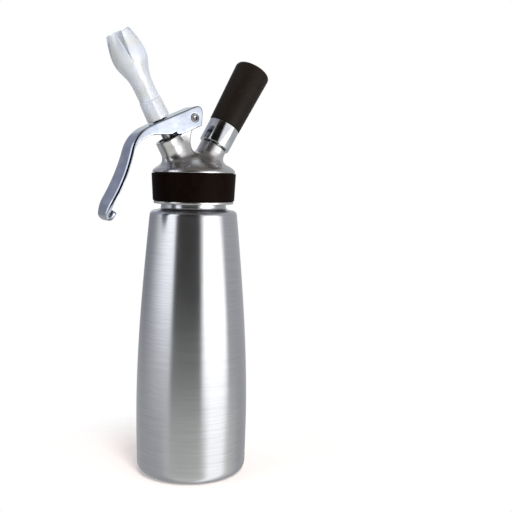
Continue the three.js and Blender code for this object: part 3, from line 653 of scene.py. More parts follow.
def either(a: np.ndarray, b: np.ndarray, fillet: float = 0.0) -> np.ndarray:
    """Two bodies as one: min(a, b), and min(a, b) - (f - |a - b|)^2 / 4 f where |a - b| < f.

    Args:
        a: one body's field.
        b: the other's.
        fillet: f, how far from where they meet the fillet starts.

    Returns:
        The field of both together.
    """
    if fillet == 0:
        return np.minimum(a, b)
    blend = np.maximum(fillet - np.abs(a - b), 0)
    return np.minimum(a, b) - blend * blend / (4 * fillet)


def both(a: np.ndarray, b: np.ndarray, fillet: float = 0.0) -> np.ndarray:
    """What two bodies share, with the same fillet."""
    return -either(-a, -b, fillet)


def cut(body: np.ndarray, tool: np.ndarray, fillet: float = 0.0) -> np.ndarray:
    """The body without the tool, with a fillet along the cut."""
    return both(body, -tool, fillet)


def blunt(a: np.ndarray, b: np.ndarray, edge: float) -> np.ndarray:
    """What two bodies share, its edge a true round: min(max(a, b), -e) + |(a + e, b + e) above 0|."""
    outside = np.hypot(np.maximum(a + edge, 0), np.maximum(b + edge, 0))
    return np.minimum(np.maximum(a, b), -edge) + outside


def rod(
    radius_here: np.ndarray, height: np.ndarray, radius: float, low: float, high: float, edge: float = 0.0
) -> np.ndarray:
    """A round bar along an axis: max(r - radius, low - h, h - high), its rims rounded.

    Args:
        radius_here: r, the distance from the axis.
        height: h, along the axis.
        radius: the bar's.
        low: where it starts.
        high: where it ends.
        edge: the radius of its rims.

    Returns:
        The bar's field.
    """
    ends = np.maximum(low - height, height - high)
    side = radius_here - radius
    return blunt(side, ends, edge) if edge else np.maximum(side, ends)


def inside_of(u: np.ndarray, v: np.ndarray, outline: np.ndarray) -> np.ndarray:
    """Distance to a closed outline: sqrt((du - s ex)^2 + (dv - s ey)^2) to the nearest side e.

    Args:
        u: the first coordinate.
        v: the second one.
        outline: its corners (n, 2).

    Returns:
        The distance, negative where a line to the right crosses the outline an odd number of times.
    """
    u, v = np.broadcast_arrays(u, v)
    least = np.full(u.shape, np.inf)
    within = np.zeros(u.shape, bool)
    for (ax, ay), (bx, by) in zip(outline, np.roll(outline, -1, axis=0)):
        ex, ey = bx - ax, by - ay
        length = ex * ex + ey * ey
        if length < TOUCHING:
            continue
        du, dv = u - ax, v - ay
        share = np.clip((du * ex + dv * ey) / length, 0, 1)
        least = np.minimum(least, (du - ex * share) ** 2 + (dv - ey * share) ** 2)
        if ey:
            crosses = (ay > v) != (by > v)
            within ^= crosses & (du < ex * dv / ey)
    return np.where(within, -1.0, 1.0) * np.sqrt(least)


def nearest_on(u: np.ndarray, v: np.ndarray, line: np.ndarray) -> tuple[np.ndarray, np.ndarray]:
    """Distance to an open line, and where on it the nearest point is.

    Args:
        u: the first coordinate.
        v: the second one.
        line: its points (n, 2).

    Returns:
        The distance, and the number of the line's point there, with the share of the way to the next.
    """
    u, v = np.broadcast_arrays(u, v)
    least = np.full(u.shape, np.inf)
    place = np.zeros(u.shape)
    for i, ((ax, ay), (bx, by)) in enumerate(zip(line, line[1:])):
        ex, ey = bx - ax, by - ay
        du, dv = u - ax, v - ay
        share = np.clip((du * ex + dv * ey) / (ex * ex + ey * ey), 0, 1)
        gap = (du - ex * share) ** 2 + (dv - ey * share) ** 2
        closer = gap < least
        least = np.where(closer, gap, least)
        place = np.where(closer, i + share, place)
    return np.sqrt(least), place


def slope_of(shape: Field, points: np.ndarray, reach: float = 0.02) -> np.ndarray:
    """The field's gradient, (f(p + h) - f(p - h)) / 2 h for each axis.

    Args:
        shape: the field f.
        points: the places p (n, 3).
        reach: the step h.

    Returns:
        The gradients (n, 3).
    """
    sides = []
    for axis in range(3):
        step = np.zeros(3)
        step[axis] = reach
        sides.append((shape(*(points + step).T) - shape(*(points - step).T)) / (2 * reach))
    return np.stack(sides, axis=1)


def skin_of(shape: Field, low: Sequence[float], high: Sequence[float], step: float) -> Surface:
    """The surface where a field is zero.

    Each cell of a grid that the surface crosses gets one point, the mean of its crossed edges, and
    each crossed edge of the grid gets the quad of the four cells round it. Three Newton steps
    p - f(p) g / |g|^2, g the gradient, then set the points on the surface.

    Args:
        shape: the field, negative inside.
        low: lowest corner of the box that holds the surface.
        high: highest corner.
        step: the grid's cell.

    Returns:
        The surface, with its normals from the gradient.
    """
    start = np.asarray(low, float) - 2.37 * step  # an odd share, so that no flat face lies in the grid
    axes = [np.arange(a, b + 3 * step, step) for a, b in zip(start, high)]
    grids = axes[0][:, None, None], axes[1][None, :, None], axes[2][None, None, :]
    value = np.broadcast_to(shape(*grids), [len(a) for a in axes])
    inside = value < 0
    cells = np.array(value.shape) - 1
    corners = np.array([(i, j, k) for i in (0, 1) for j in (0, 1) for k in (0, 1)])
    near, far = inside[:-1].astype(np.uint8), inside[1:]
    count = near + far
    count = count[:, :-1] + count[:, 1:]
    count = count[..., :-1] + count[..., 1:]
    cell = np.argwhere((count > 0) & (count < 8))
    number = np.full(cells, -1)
    number[tuple(cell.T)] = np.arange(len(cell))
    sample = np.stack([value[tuple((cell + c).T)] for c in corners], axis=1)
    total = np.zeros((len(cell), 3))
    hits = np.zeros(len(cell))
    for a in range(8):
        for b in range(a + 1, 8):
            if np.abs(corners[a] - corners[b]).sum() != 1:
                continue
            crossed = (sample[:, a] < 0) != (sample[:, b] < 0)
            drop = np.where(crossed, sample[:, a] - sample[:, b], 1.0)
            place = corners[a] + (sample[:, a] / drop)[:, None] * (corners[b] - corners[a])
            total += np.where(crossed[:, None], place, 0)
            hits += crossed
    points = start + step * (cell + total / hits[:, None])
    quads = []
    for axis in range(3):
        first = np.take(inside, np.arange(cells[axis]), axis=axis)
        second = np.take(inside, np.arange(1, cells[axis] + 1), axis=axis)
        edge = np.argwhere(first != second)
        one, two = np.eye(3, dtype=int)[[(axis + 1) % 3, (axis + 2) % 3]]
        ring = [edge, edge - one, edge - one - two, edge - two]
        quad = np.stack([number[tuple(r.T)] for r in ring], axis=1)
        outward = first[tuple(edge.T)]
        quads += [quad[outward], quad[~outward][:, ::-1]]
    for _ in range(3):
        slope = slope_of(shape, points)
        size = np.maximum((slope * slope).sum(1), LEAST_SLOPE)
        move = (shape(*points.T) / size)[:, None] * slope
        points = points - np.clip(move, -step / 2, step / 2)
    slope = slope_of(shape, points)
    normals = slope / np.maximum(np.linalg.norm(slope, axis=1, keepdims=True), 1e-9)
    return Surface(points, [np.concatenate(quads)], normals)


# Pieces


@dataclass(frozen=True)
class Tilted:
    """A frame turned about Y: its Z runs along (sin t, 0, cos t)."""

    x: float
    z: float
    degrees: float

    def matrix(self, rise: float = 0.0) -> Matrix:
        """The frame as a matrix.

        Args:
            rise: how far its zero is moved along its own Z.

        Returns:
            The matrix.
        """
        turn = Matrix.Rotation(math.radians(self.degrees), 4, "Y")
        return Matrix.Translation((self.x, 0, self.z)) @ turn @ Matrix.Translation((0, 0, rise))

    def local(self, x: np.ndarray, y: np.ndarray, z: np.ndarray) -> tuple[np.ndarray, ...]:
        """Where points lie in the frame.

        Args:
            x: of each point.
            y: of each point.
            z: of each point.

        Returns:
            Radius and height in the frame, and the place across it.
        """
        c, s = math.cos(math.radians(self.degrees)), math.sin(math.radians(self.degrees))
        across = (x - self.x) * c - (z - self.z) * s
        return np.hypot(across, y), (x - self.x) * s + (z - self.z) * c, across


VALVE = Tilted(-24.2, 281.6, -28.5)  # from the middle of the boss's rim, along the stem
PORT = Tilted(18.7, 276.9, 30.0)  # from the middle of the holder's rim, along the holder
PIVOT = (-4.6, 298.7)  # x and z of the lever's pin
NOZZLE_SEAT = 17.5588  # height of the stem's collar on the valve's axis


def put(name: str, surface: Surface, finish: Material, body: str, slot: str, *nodes: str) -> None:
    """Makes a piece from a surface, dresses it and sets it on its body.

    Args:
        name: the piece's name.
        surface: its skin, in millimetres, in the part's frame.
        finish: its material.
        body: the body that it rides on.
        slot: the record's material slot; not used.
        nodes: the nodes that it stands for.
    """
    mesh = bpy.data.meshes.new(name)
    faces = [row for group in surface.faces for row in group.tolist()]
    mesh.from_pydata((surface.points * MM).tolist(), [], faces)
    if surface.normals is None:
        weld(mesh)
        mesh.shade_smooth()
        mesh.set_sharp_from_angle(angle=CREASE)
    else:
        mesh.shade_smooth()
        mesh.normals_split_custom_set_from_vertices(surface.normals.tolist())
    mesh.materials.append(finish.build())
    piece = bpy.data.objects.new(name, mesh)
    bpy.context.scene.collection.objects.link(piece)
    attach(piece, body)
    if nodes:
        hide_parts(*nodes)
    LOG.info("%s: %d points, %d faces", name, len(mesh.vertices), len(mesh.polygons))


def weld(mesh: bpy.types.Mesh) -> None:
    """Joins the points that meet on an axis, and drops the faces that this folds up.

    Args:
        mesh: the mesh, which is changed.
    """
    work = bmesh.new()
    work.from_mesh(mesh)
    bmesh.ops.remove_doubles(work, verts=work.verts, dist=1e-7)
    work.to_mesh(mesh)
    work.free()


@dataclass(frozen=True)
class Bottle:
    """Spun steel shell with a pressed base, and the threaded neck under the head."""

    wall: float = 1.1
    pad_radius: float = 15.0
    foot_radius: float = 36.2
    foot_width: float = 2.5
    foot_rise: float = 1.6
    heel_radius: float = 8.0
    base_radius: float = 46.4
    belly_radius: float = 47.0
    belly_height: float = 52.0
    shoulder_radius: float = 36.6
    shoulder_height: float = 218.6
    shoulder_corner: float = 4.0
    shoulder_rise: float = 0.6
    neck_radius: float = 27.2
    neck_fillet: float = 2.6
    mouth: float = 249.0
    lip_radius: float = 28.6
    lip_height: float = 2.2
    neck_straight: float = 230.0
    thread_start: float = 233.0
    thread_pitch: float = 4.0
    thread_depth: float = 1.2
    gasket: tuple[float, ...] = (24.4, 29.0, 249.3, 251.7, 0.5)  # bore, radius, bottom, top and edge
    lead_share: float = 0.33
    heel_lead: float = 16.0
    heel_flare: float = 0.3
    lean: float = math.tan(math.radians(5.6))

    def side(self, inset: float) -> np.ndarray:
        """The line from heel to neck.

        Args:
            inset: how far it is moved in, the wall for the inner side.

        Returns:
            Points (radius, height), upwards.
        """
        floor = self.foot_rise + inset if inset else 0.0
        heel = self.heel_radius - inset
        middle = self.base_radius - self.heel_radius
        lead = self.lead_share * (self.shoulder_height - self.belly_height)
        curve = bezier(
            [
                (self.belly_radius - inset, self.belly_height),
                (self.belly_radius - inset, self.belly_height + lead),
                (self.shoulder_radius + lead * self.lean - inset, self.shoulder_height - lead),
                (self.shoulder_radius - inset, self.shoulder_height),
            ],
            40,
        )
        low = bezier(
            [
                (self.base_radius - inset, floor + heel),
                (self.base_radius + self.heel_flare - inset, floor + heel + self.heel_lead),
                (self.belly_radius - inset, self.belly_height - self.heel_lead),
                (self.belly_radius - inset, self.belly_height),
            ],
            14,
        )
        corner = self.shoulder_corner - inset
        fillet = self.neck_fillet + inset
        top = self.shoulder_height + self.shoulder_corner + self.shoulder_rise + self.neck_fillet
        return np.concatenate(
            [
                arc(middle, floor + heel, heel, -90, 0, 12)[:-1],
                low[:-1],
                curve[:-1],
                arc(self.shoulder_radius - inset - corner, self.shoulder_height, corner, 0, 90, 10),
                arc(self.neck_radius - inset + fillet, top, fillet, -90, -180, 8),
            ]
        )

    def build(self) -> None:
        """Makes the shell, one outline from the foot up the outside and down the inside, and its gasket."""
        foot = rounded(
            [
                (0, 0),
                (self.pad_radius, 0),
                (self.pad_radius + self.foot_width, self.foot_rise),
                (self.foot_radius - self.foot_width, self.foot_rise),
                (self.foot_radius, 0),
                (self.base_radius - self.heel_radius - 0.5, 0),
            ],
            2.0,
            closed=False,
        )
        neck_low = self.mouth - self.lip_height
        neck = finer([(self.neck_radius, self.neck_straight), (self.neck_radius, neck_low)], 0.4)
        lip = rounded(
            [
                (self.neck_radius, neck_low),
                (self.lip_radius, neck_low),
                (self.lip_radius, self.mouth),
                (self.neck_radius - self.wall, self.mouth),
                (self.neck_radius - self.wall, neck_low),
            ],
            0.55,
            closed=False,
        )
        floor = [
            (self.pad_radius + self.foot_width, self.foot_rise + self.wall),
            (self.pad_radius, self.wall),
            (0, self.wall),
        ]
        outline = np.concatenate([foot, self.side(0.0), neck, lip[1:], self.side(self.wall)[::-1], floor])
        thread = helix(self.thread_pitch, self.thread_start, neck_low - 1.0, self.thread_depth)

        def swell(angle: np.ndarray, radius: np.ndarray, height: np.ndarray) -> np.ndarray:
            """The thread, on the neck's outer side alone."""
            outer = (radius > self.neck_radius - 0.01) & (height > self.neck_straight - 1.0)
            return thread(angle, radius, height) * outer

        shell = revolve(outline, 192, swell=swell)
        put("bottle_shell", shell, Material.BOTTLE, "bottle", "bottle_steel", "bottle")
        gasket = revolve(washer(*self.gasket), 128, closed=True)
        put("gasket_ring", gasket, Material.GASKET, "gasket", "gasket_silicone", "head_gasket")


@dataclass(frozen=True)
class Head:
    """Cast head: threaded skirt, flange, dome, valve boss, lever post and charger port in one."""

    skirt_radius: float = 29.3
    seat_radius: float = 32.5
    skirt_bottom: float = 228.1
    flange_radius: float = 33.4
    flange_top: float = 230.3
    ceiling: float = 252.0
    dome_radius: float = 34.4
    dome_base: float = 253.8
    dome_edge: float = 1.0
    dome_top: float = 268.3
    crown_wall: float = 5.4
    hollow_radius: float = 24.0
    boss: Bar = (10.8, -30.0, 0.0, 0.9)
    valve_mouth: Bar = (8.1, -9.2, 6.0)
    valve_chamber: Bar = (5.95, -26.0, 0.0)
    valve_hole: Bar = (4.2, -40.0, 0.0)
    valve_seat: float = -28.0
    seat_height: float = 2.0
    seat_flare: float = 1.2
    neck: Bar = (11.4, -16.5, -1.2, 0.8)
    pip: Bar = (6.6, -19.5, -12.0, 0.5)
    port_mouth: Bar = (4.6, -8.3, 14.0)
    port_chamber: Bar = (3.4, -16.5, 0.0)
    port_hole: Bar = (1.5, -24.0, 0.0)
    post_foot: float = -34.8  # from the pivot, as the next two are
    post_back: tuple[Point, ...] = ((5.0, -32.3), (-2.3, -27.3), (-2.3, -20.0))
    post_neck: Point = (-2.3, -10.0)
    post_shoulder: Point = (-21.7, 274.9)
    post_toe: float = -13.4
    post_half: float = 7.5
    post_edge: float = 1.6
    eye_radius: float = 4.7
    eye_hole: float = 2.9
    post_fillet: float = 6.5
    neck_fillet: float = 6.0
    dome_fillet: float = 8.0
    crisp_from: float = -8.0
    crisp_over: float = 4.8
    spigot_bore: float = 4.6
    spigot_radius: float = 9.0
    spigot_bottom: float = -2.6
    spigot_top: float = 10.6
    spigot_pitch: float = 1.6
    spigot_thread: float = 0.62
    band_bottom: float = 34.1
    band_bottom_edge: float = 0.7
    band_top: float = 35.2
    band_top_edge: float = 0.9
    step: float = 0.62

    def shell_outline(self) -> np.ndarray:
        """The casting's section without boss, post and port.

        Returns:
            Points (radius, height) of a loop that runs past the axis.
        """
        rise = self.dome_top - self.dome_base
        edge = self.dome_base + self.dome_edge
        dome = bezier(
            [
                (self.dome_radius, edge),
                (self.dome_radius, edge + rise * 0.22),
                (self.dome_radius * 0.62, self.dome_base + rise * 0.76),
                (0, self.dome_top),
            ],
            16,
        )
        crown = self.dome_top - self.crown_wall
        low = rounded(
            [
                (self.skirt_radius, self.ceiling),
                (self.skirt_radius, self.skirt_bottom),
                (self.flange_radius, self.skirt_bottom),
                (self.flange_radius, self.flange_top),
                (self.seat_radius, self.flange_top),
                (self.seat_radius, self.dome_base),
                (self.dome_radius, self.dome_base),
                (self.dome_radius, edge),
            ],
            [0, 0.5, 0.8, 0.7, 0.2, 0.3, 0.5, 0],
            closed=False,
        )
        inner = [
            (-6.0, self.dome_top),
            (-6.0, crown),
            (self.hollow_radius * 0.42, crown),
            (self.hollow_radius, self.ceiling + 2),
            (self.hollow_radius, self.ceiling),
        ]
        return np.concatenate([low[:-1], dome, inner])

    def post_outline(self) -> np.ndarray:
        """The lever post from its eye down to the dome, hollowed behind the pin.

        Returns:
            Points (x, z) of a loop.
        """
        x, z = PIVOT
        foot = z + self.post_foot
        back = [(x + along, z + up) for along, up in self.post_back]
        along, up = self.post_neck
        neck = bezier([back[-1], (x + along, z + up), (x + self.eye_radius, z)], 10)
        eye = arc(x, z, self.eye_radius, 0, 180, 14)
        front = [self.post_shoulder, (self.post_toe, foot)]
        return np.concatenate([[(back[0][0], foot)], bezier(back, 8), neck[1:], eye[1:], front])

    def field(self) -> Field:
        """The casting as one distance field.

        Returns:
            The field.
        """
        shell, post = self.shell_outline(), self.post_outline()

        def shape(x: np.ndarray, y: np.ndarray, z: np.ndarray) -> np.ndarray:
            """Shell, boss, neck, pip and post in one, less the bores.

            Args:
                x: of each point.
                y: of each point.
                z: of each point.

            Returns:
                The distance, negative inside.
            """
            body = inside_of(np.hypot(x, y), z, shell)
            valve_r, valve_h, _ = VALVE.local(x, y, z)
            port_r, port_h, _ = PORT.local(x, y, z)
            boss = rod(valve_r, valve_h, *self.boss)
            neck = rod(port_r, port_h, *self.neck)
            pip = rod(port_r, port_h, *self.pip)
            web = blunt(inside_of(x, z, post), np.abs(y) - self.post_half, self.post_edge)
            # The lever's walls come down past the boss's rim, so the fillet fades out below them.
            crisp = np.clip((valve_h - self.crisp_from) / self.crisp_over, 0, 1)
            risers = (1 - crisp) * either(boss, web, self.post_fillet) + crisp * either(boss, web)
            body = either(body, either(risers, neck, self.neck_fillet), self.dome_fillet)
            body = either(body, pip)
            body = cut(body, self.valve_bore(valve_r, valve_h), 0.35)
            body = cut(body, self.port_bore(port_r, port_h), 0.3)
            eye = np.hypot(x - PIVOT[0], z - PIVOT[1]) - self.eye_hole
            return cut(body, eye, 0.3)

        return shape

    def valve_bore(self, r: np.ndarray, h: np.ndarray) -> np.ndarray:
        """The stepped bore for bush, spring and seal, its hole flared towards the seal.

        Args:
            r: the distance from the valve's axis.
            h: the height along it.

        Returns:
            The bore's field.
        """
        mouth = rod(r, h, *self.valve_mouth)
        chamber = rod(r, h, *self.valve_chamber)
        hole = rod(r, h, *self.valve_hole)
        depth = np.clip(self.valve_seat - h, 0, self.seat_height)
        seat = np.maximum(r - (self.valve_hole[0] + depth * self.seat_flare), h - self.valve_seat)
        return either(either(mouth, chamber), either(hole, seat))

    def port_bore(self, r: np.ndarray, h: np.ndarray) -> np.ndarray:
        """The stepped bore for pin carrier, poppet and spring.

        Args:
            r: the distance from the port's axis.
            h: the height along it.

        Returns:
            The bore's field.
        """
        mouth = rod(r, h, *self.port_mouth)
        chamber = rod(r, h, *self.port_chamber)
        hole = rod(r, h, *self.port_hole)
        return either(either(mouth, chamber), hole)

    def build(self) -> None:
        """Makes the casting, the threaded spigot of its port, and the band round its skirt."""
        skin = skin_of(self.field(), (-43, -34.6, 228.1), (34.6, 34.6, 303.4), self.step)
        put("head_cast", skin, Material.HEAD, "head", "head_steel", "head_casting")
        bore, radius = self.spigot_bore, self.spigot_radius
        bottom, top = self.spigot_bottom, self.spigot_top
        spigot = np.concatenate(
            [
                [(bore, bottom), (radius, bottom)],
                finer([(radius, bottom + 0.1), (radius, top - 0.6)], 0.25),
                rounded([(radius, top - 0.5), (radius - 0.4, top), (bore, top)], 0.3, closed=False),
            ]
        )
        thread = helix(self.spigot_pitch, 0.4, top - 0.7, self.spigot_thread, 0.8)
        sleeve = revolve(spigot, 96, closed=True, swell=thread).placed(PORT.matrix())
        put("port_spigot", sleeve, Material.STEM_PAINTED_SHADE, "head", "head_steel")
        low, high = self.flange_top + GAP, self.dome_base - GAP
        inner = self.seat_radius + GAP
        under, over = self.band_bottom_edge, self.band_top_edge
        band = np.concatenate(
            [
                [(inner, low)],
                arc(self.band_bottom - under, low + under, under, -90, 0, 5),
                arc(self.band_top - over, high - over, over, 0, 90, 5),
                [(inner, high)],
            ]
        )
        ring = revolve(band, 160, closed=True)
        put("band_ring", ring, Material.BAND, "head", "band_silicone", "grip_band")


@dataclass(frozen=True)
class Pin:
    """The two halves of the pivot pin: a plain dished head, and one with a hexagon socket."""

    radius: float = 2.6
    head_radius: float = 3.3
    head_low: float = 8.4
    head_top: float = 10.0
    dish: tuple[Point, ...] = ((0, 9.1), (0.9, 9.2), (1.8, 9.5), (2.6, 10.0))
    socket_radius: float = 1.5
    joint: float = 3.0  # how far past the middle the near half goes

    def build(self) -> None:
        """Makes both halves."""
        x, z = PIVOT
        frame = Matrix.Translation((x, 0, z)) @ Matrix.Rotation(math.pi / 2, 4, "X")
        wide = self.head_radius
        head = [(wide, self.head_top), (wide, self.head_low), (self.radius, self.head_low)]
        dish = rounded([*self.dish, *head], [0, 0, 0, 0.22, 0.22, 0.22, 0], closed=False)
        near = np.concatenate([dish, [(self.radius, -self.joint), (0, -self.joint)]])
        put("pin_near", revolve(near, 64).placed(frame), Material.PIN, "head", "pin_steel", "lever_pin")
        flat = self.socket_radius
        socket = [(0, self.head_low), (flat, self.head_low), (flat, 9.86), (flat + 0.12, 9.98)]
        rim = dish[-12:]  # from the last point of the dish on
        far = np.concatenate([socket, rim, [(self.radius, self.joint + GAP), (0, self.joint + GAP)]])

        def hexagon(angle: np.ndarray, radius: np.ndarray, height: np.ndarray) -> np.ndarray:
            """Makes the socket a hexagon, r cos(pi / 6) / cos(t), t the turn from a flat's middle.

            Args:
                angle: round the axis, of each point.
                radius: of each point.
                height: of each point.

            Returns:
                What is added to the radius.
            """
            turn = (angle % (np.pi / 3)) - np.pi / 6
            side = radius * (math.cos(math.pi / 6) / np.cos(turn) - 1)
            return side * ((radius < flat + 0.2) & (height > self.head_low - 0.2))

        mirror = frame @ Matrix.Rotation(math.pi, 4, "X")
        surface = revolve(far, 96, swell=hexagon).placed(mirror)
        put("pin_far", surface, Material.PIN, "head", "pin_steel", "lever_pin_screw")


@dataclass(frozen=True)
class Lever:
    """Cast lever: an inverted channel over post and stem, bent down to a flared handle and hook."""

    half_width: float = 10.0
    wall: float = 1.6
    web: float = 1.8
    edge: float = 1.2
    handle_edge: float = 3.0
    tip_edge: float = 1.9
    rim: float = 0.6
    bow: float = 0.4
    rise: float = 8.2
    slope: float = math.radians(23.5)
    ear_reach: float = 7.4
    ear_rise: float = 3.5
    ear_crown: float = 1.0
    heel_drop: float = 6.2
    heel_inset: float = 0.7
    heel_run: float = 18.0
    arm_length: float = 43.2
    elbow_depth: float = 7.5
    elbow_radius: float = 29.5
    elbow_turn: float = math.radians(52)
    handle_length: float = 40.0
    handle_turn: float = math.radians(-16)
    handle_half: float = 13.0
    handle_depth: float = 3.2
    sweep_radius: float = 42.0
    sweep_turn: float = math.radians(19)
    curl_radius: float = 5.0
    curl_turn: float = math.radians(158)
    tip_length: float = 4.5
    tip_half: float = 4.5
    tip_depth: float = 4.2
    pin_hole: float = 3.6
    slot_half: float = 5.5
    slot_length: float = 1.45
    slot_top: float = 16.2  # of the channel over the stem, along the valve's axis
    relief: Bar = (11.1, -10.8, 3.1)  # round the boss's rim
    step: float = 0.43

    def arm(self) -> tuple[np.ndarray, np.ndarray, np.ndarray]:
        """The channel from the ear to the end of its straight part.

        Returns:
            Outer line, lower edge and half width.
        """
        x, z = PIVOT
        along = np.array([-math.cos(self.slope), -math.sin(self.slope)])
        inward = np.array([-along[1], along[0]])

        def on_top(px: float) -> np.ndarray:
            """The point of the channel's top line at the given x."""
            return np.array([px, z + (self.rise + (px - x) * math.sin(self.slope)) / math.cos(self.slope)])

        back = x + self.ear_reach
        crown = on_top(x - self.ear_crown)
        ear = bezier([(back, z + self.ear_rise), on_top(back), crown], 12)
        heel = np.array([back - self.heel_inset, z - self.heel_drop])
        under = float((crown - heel) @ along)
        low = heel + along * np.linspace(0, under, 13)[:, None]
        knee = heel + along * self.heel_run
        knee_top = knee + inward * float((crown - knee) @ inward)
        end = on_top(x - self.arm_length * math.cos(self.slope))
        top = np.concatenate([ear, [knee_top, end]])
        bottom = np.concatenate([low, [knee, end + inward * self.elbow_depth]])
        return top, bottom, np.full(len(top), self.half_width)

    def handle(self, start: np.ndarray) -> tuple[np.ndarray, np.ndarray, np.ndarray, float]:
        """The same from the elbow to the hook's tip.

        Args:
            start: the last point of the arm's outer line.

        Returns:
            Outer line, lower edge and half width, and how far from the elbow the hollow ends.
        """
        flare_end = self.elbow_radius * self.elbow_turn + self.handle_length
        stretches = [
            (self.elbow_radius * self.elbow_turn, self.elbow_turn, 16),
            (self.handle_length, self.handle_turn, 14),
            (self.sweep_radius * self.sweep_turn, self.sweep_turn, 8),
            (self.curl_radius * self.curl_turn, self.curl_turn, 18),
            (self.tip_length, 0.0, 3),
        ]
        run_step = np.concatenate([np.full(n, length / n) for length, _, n in stretches])
        bend = np.concatenate([np.full(n, turn / n) for _, turn, n in stretches])
        run = np.cumsum(run_step)
        heading = self.slope + np.cumsum(bend)
        middle = heading - bend / 2
        way = np.column_stack([np.cos(middle), np.sin(middle)])
        top = start - np.cumsum(run_step[:, None] * way, axis=0)
        total = run[-1]

        def ease(t: np.ndarray) -> np.ndarray:
            """The smooth step 3 t^2 - 2 t^3, t kept from 0 to 1."""
            t = np.clip(t, 0, 1)
            return t * t * (3 - 2 * t)

        tip = ease((run - flare_end) / (total - flare_end))
        half = self.half_width + (self.handle_half - self.half_width) * ease(run / flare_end)
        half = half + (self.tip_half - half) * tip
        bow = self.elbow_radius * self.elbow_turn
        depth = self.elbow_depth + (self.handle_depth - self.elbow_depth) * ease(run / bow)
        depth = depth + (self.tip_depth - depth) * tip
        bottom = top + depth[:, None] * np.column_stack([np.sin(heading), -np.cos(heading)])
        return top, bottom, half, flare_end + self.sweep_radius * self.sweep_turn

    def field(self) -> Field:
        """The lever as a distance field.

        Returns:
            The field.
        """
        arm_top, arm_low, arm_half = self.arm()
        top, low, half, hollow_run = self.handle(arm_top[-1])
        top = np.concatenate([arm_top, top])
        low = np.concatenate([arm_low, low])
        half = np.concatenate([arm_half, half])
        numbers = np.arange(len(top))
        steps = np.linalg.norm(np.diff(top, axis=0), axis=1)
        runs = np.concatenate([[0], np.cumsum(steps)])
        hollow_end = runs[len(arm_top) - 1] + hollow_run
        outline = np.concatenate([top, low[::-1]])
        elbow_end = self.elbow_radius * self.elbow_turn
        flare_end = elbow_end + self.handle_length
        round_runs = runs[len(arm_top) - 1] + np.array([-6.0, elbow_end, flare_end, hollow_run])
        reach = np.interp(runs, round_runs, [1.0, 3.0, 3.0, 1.0])[:, None]
        deep = np.concatenate([top, (top + (low - top) * reach)[::-1]])
        edges = [self.edge, self.handle_edge, self.handle_edge, self.tip_edge]

        def shape(x: np.ndarray, y: np.ndarray, z: np.ndarray) -> np.ndarray:
            """The lever's outer side, less hollow, pin hole, slot and relief.

            Args:
                x: of each point.
                y: of each point.
                z: of each point.

            Returns:
                The distance, negative inside.
            """
            side = inside_of(x, z, outline)
            depth, number = nearest_on(x, z, top)
            width = np.interp(number, numbers, half)
            run = np.interp(number, numbers, runs)
            edge = np.interp(run, round_runs, edges)
            lateral = np.abs(y) - width
            bow = np.interp(run, round_runs, [0, self.bow, self.bow, 0])
            face = inside_of(x, z, deep) + bow * (y / width) ** 2
            body = both(blunt(face, lateral, edge), blunt(side, lateral, self.rim))
            hollow = both(np.abs(y) - (width - self.wall), self.web - depth, 1.6)
            hollow = both(hollow, run - hollow_end, 2.0)
            body = cut(body, hollow, 0.5)
            body = cut(body, np.hypot(x - PIVOT[0], z - PIVOT[1]) - self.pin_hole, 0.3)
            radius, height, across = VALVE.local(x, y, z)
            slot = np.hypot(across - np.clip(across, 0, self.slot_length), y) - self.slot_half
            slot = np.maximum(slot, np.abs(height - self.slot_top + 1.0) - 5.0)
            body = cut(body, slot, 0.5)
            return cut(body, rod(radius, height, *self.relief), 0.3)

        return shape

    def build(self) -> None:
        """Makes the lever."""
        skin = skin_of(self.field(), (-81.6, -13.1, 203.0), (3.2, 13.1, 308.5), self.step)
        put("lever_cast", skin, Material.LEVER, "lever", "lever_chrome", "lever")


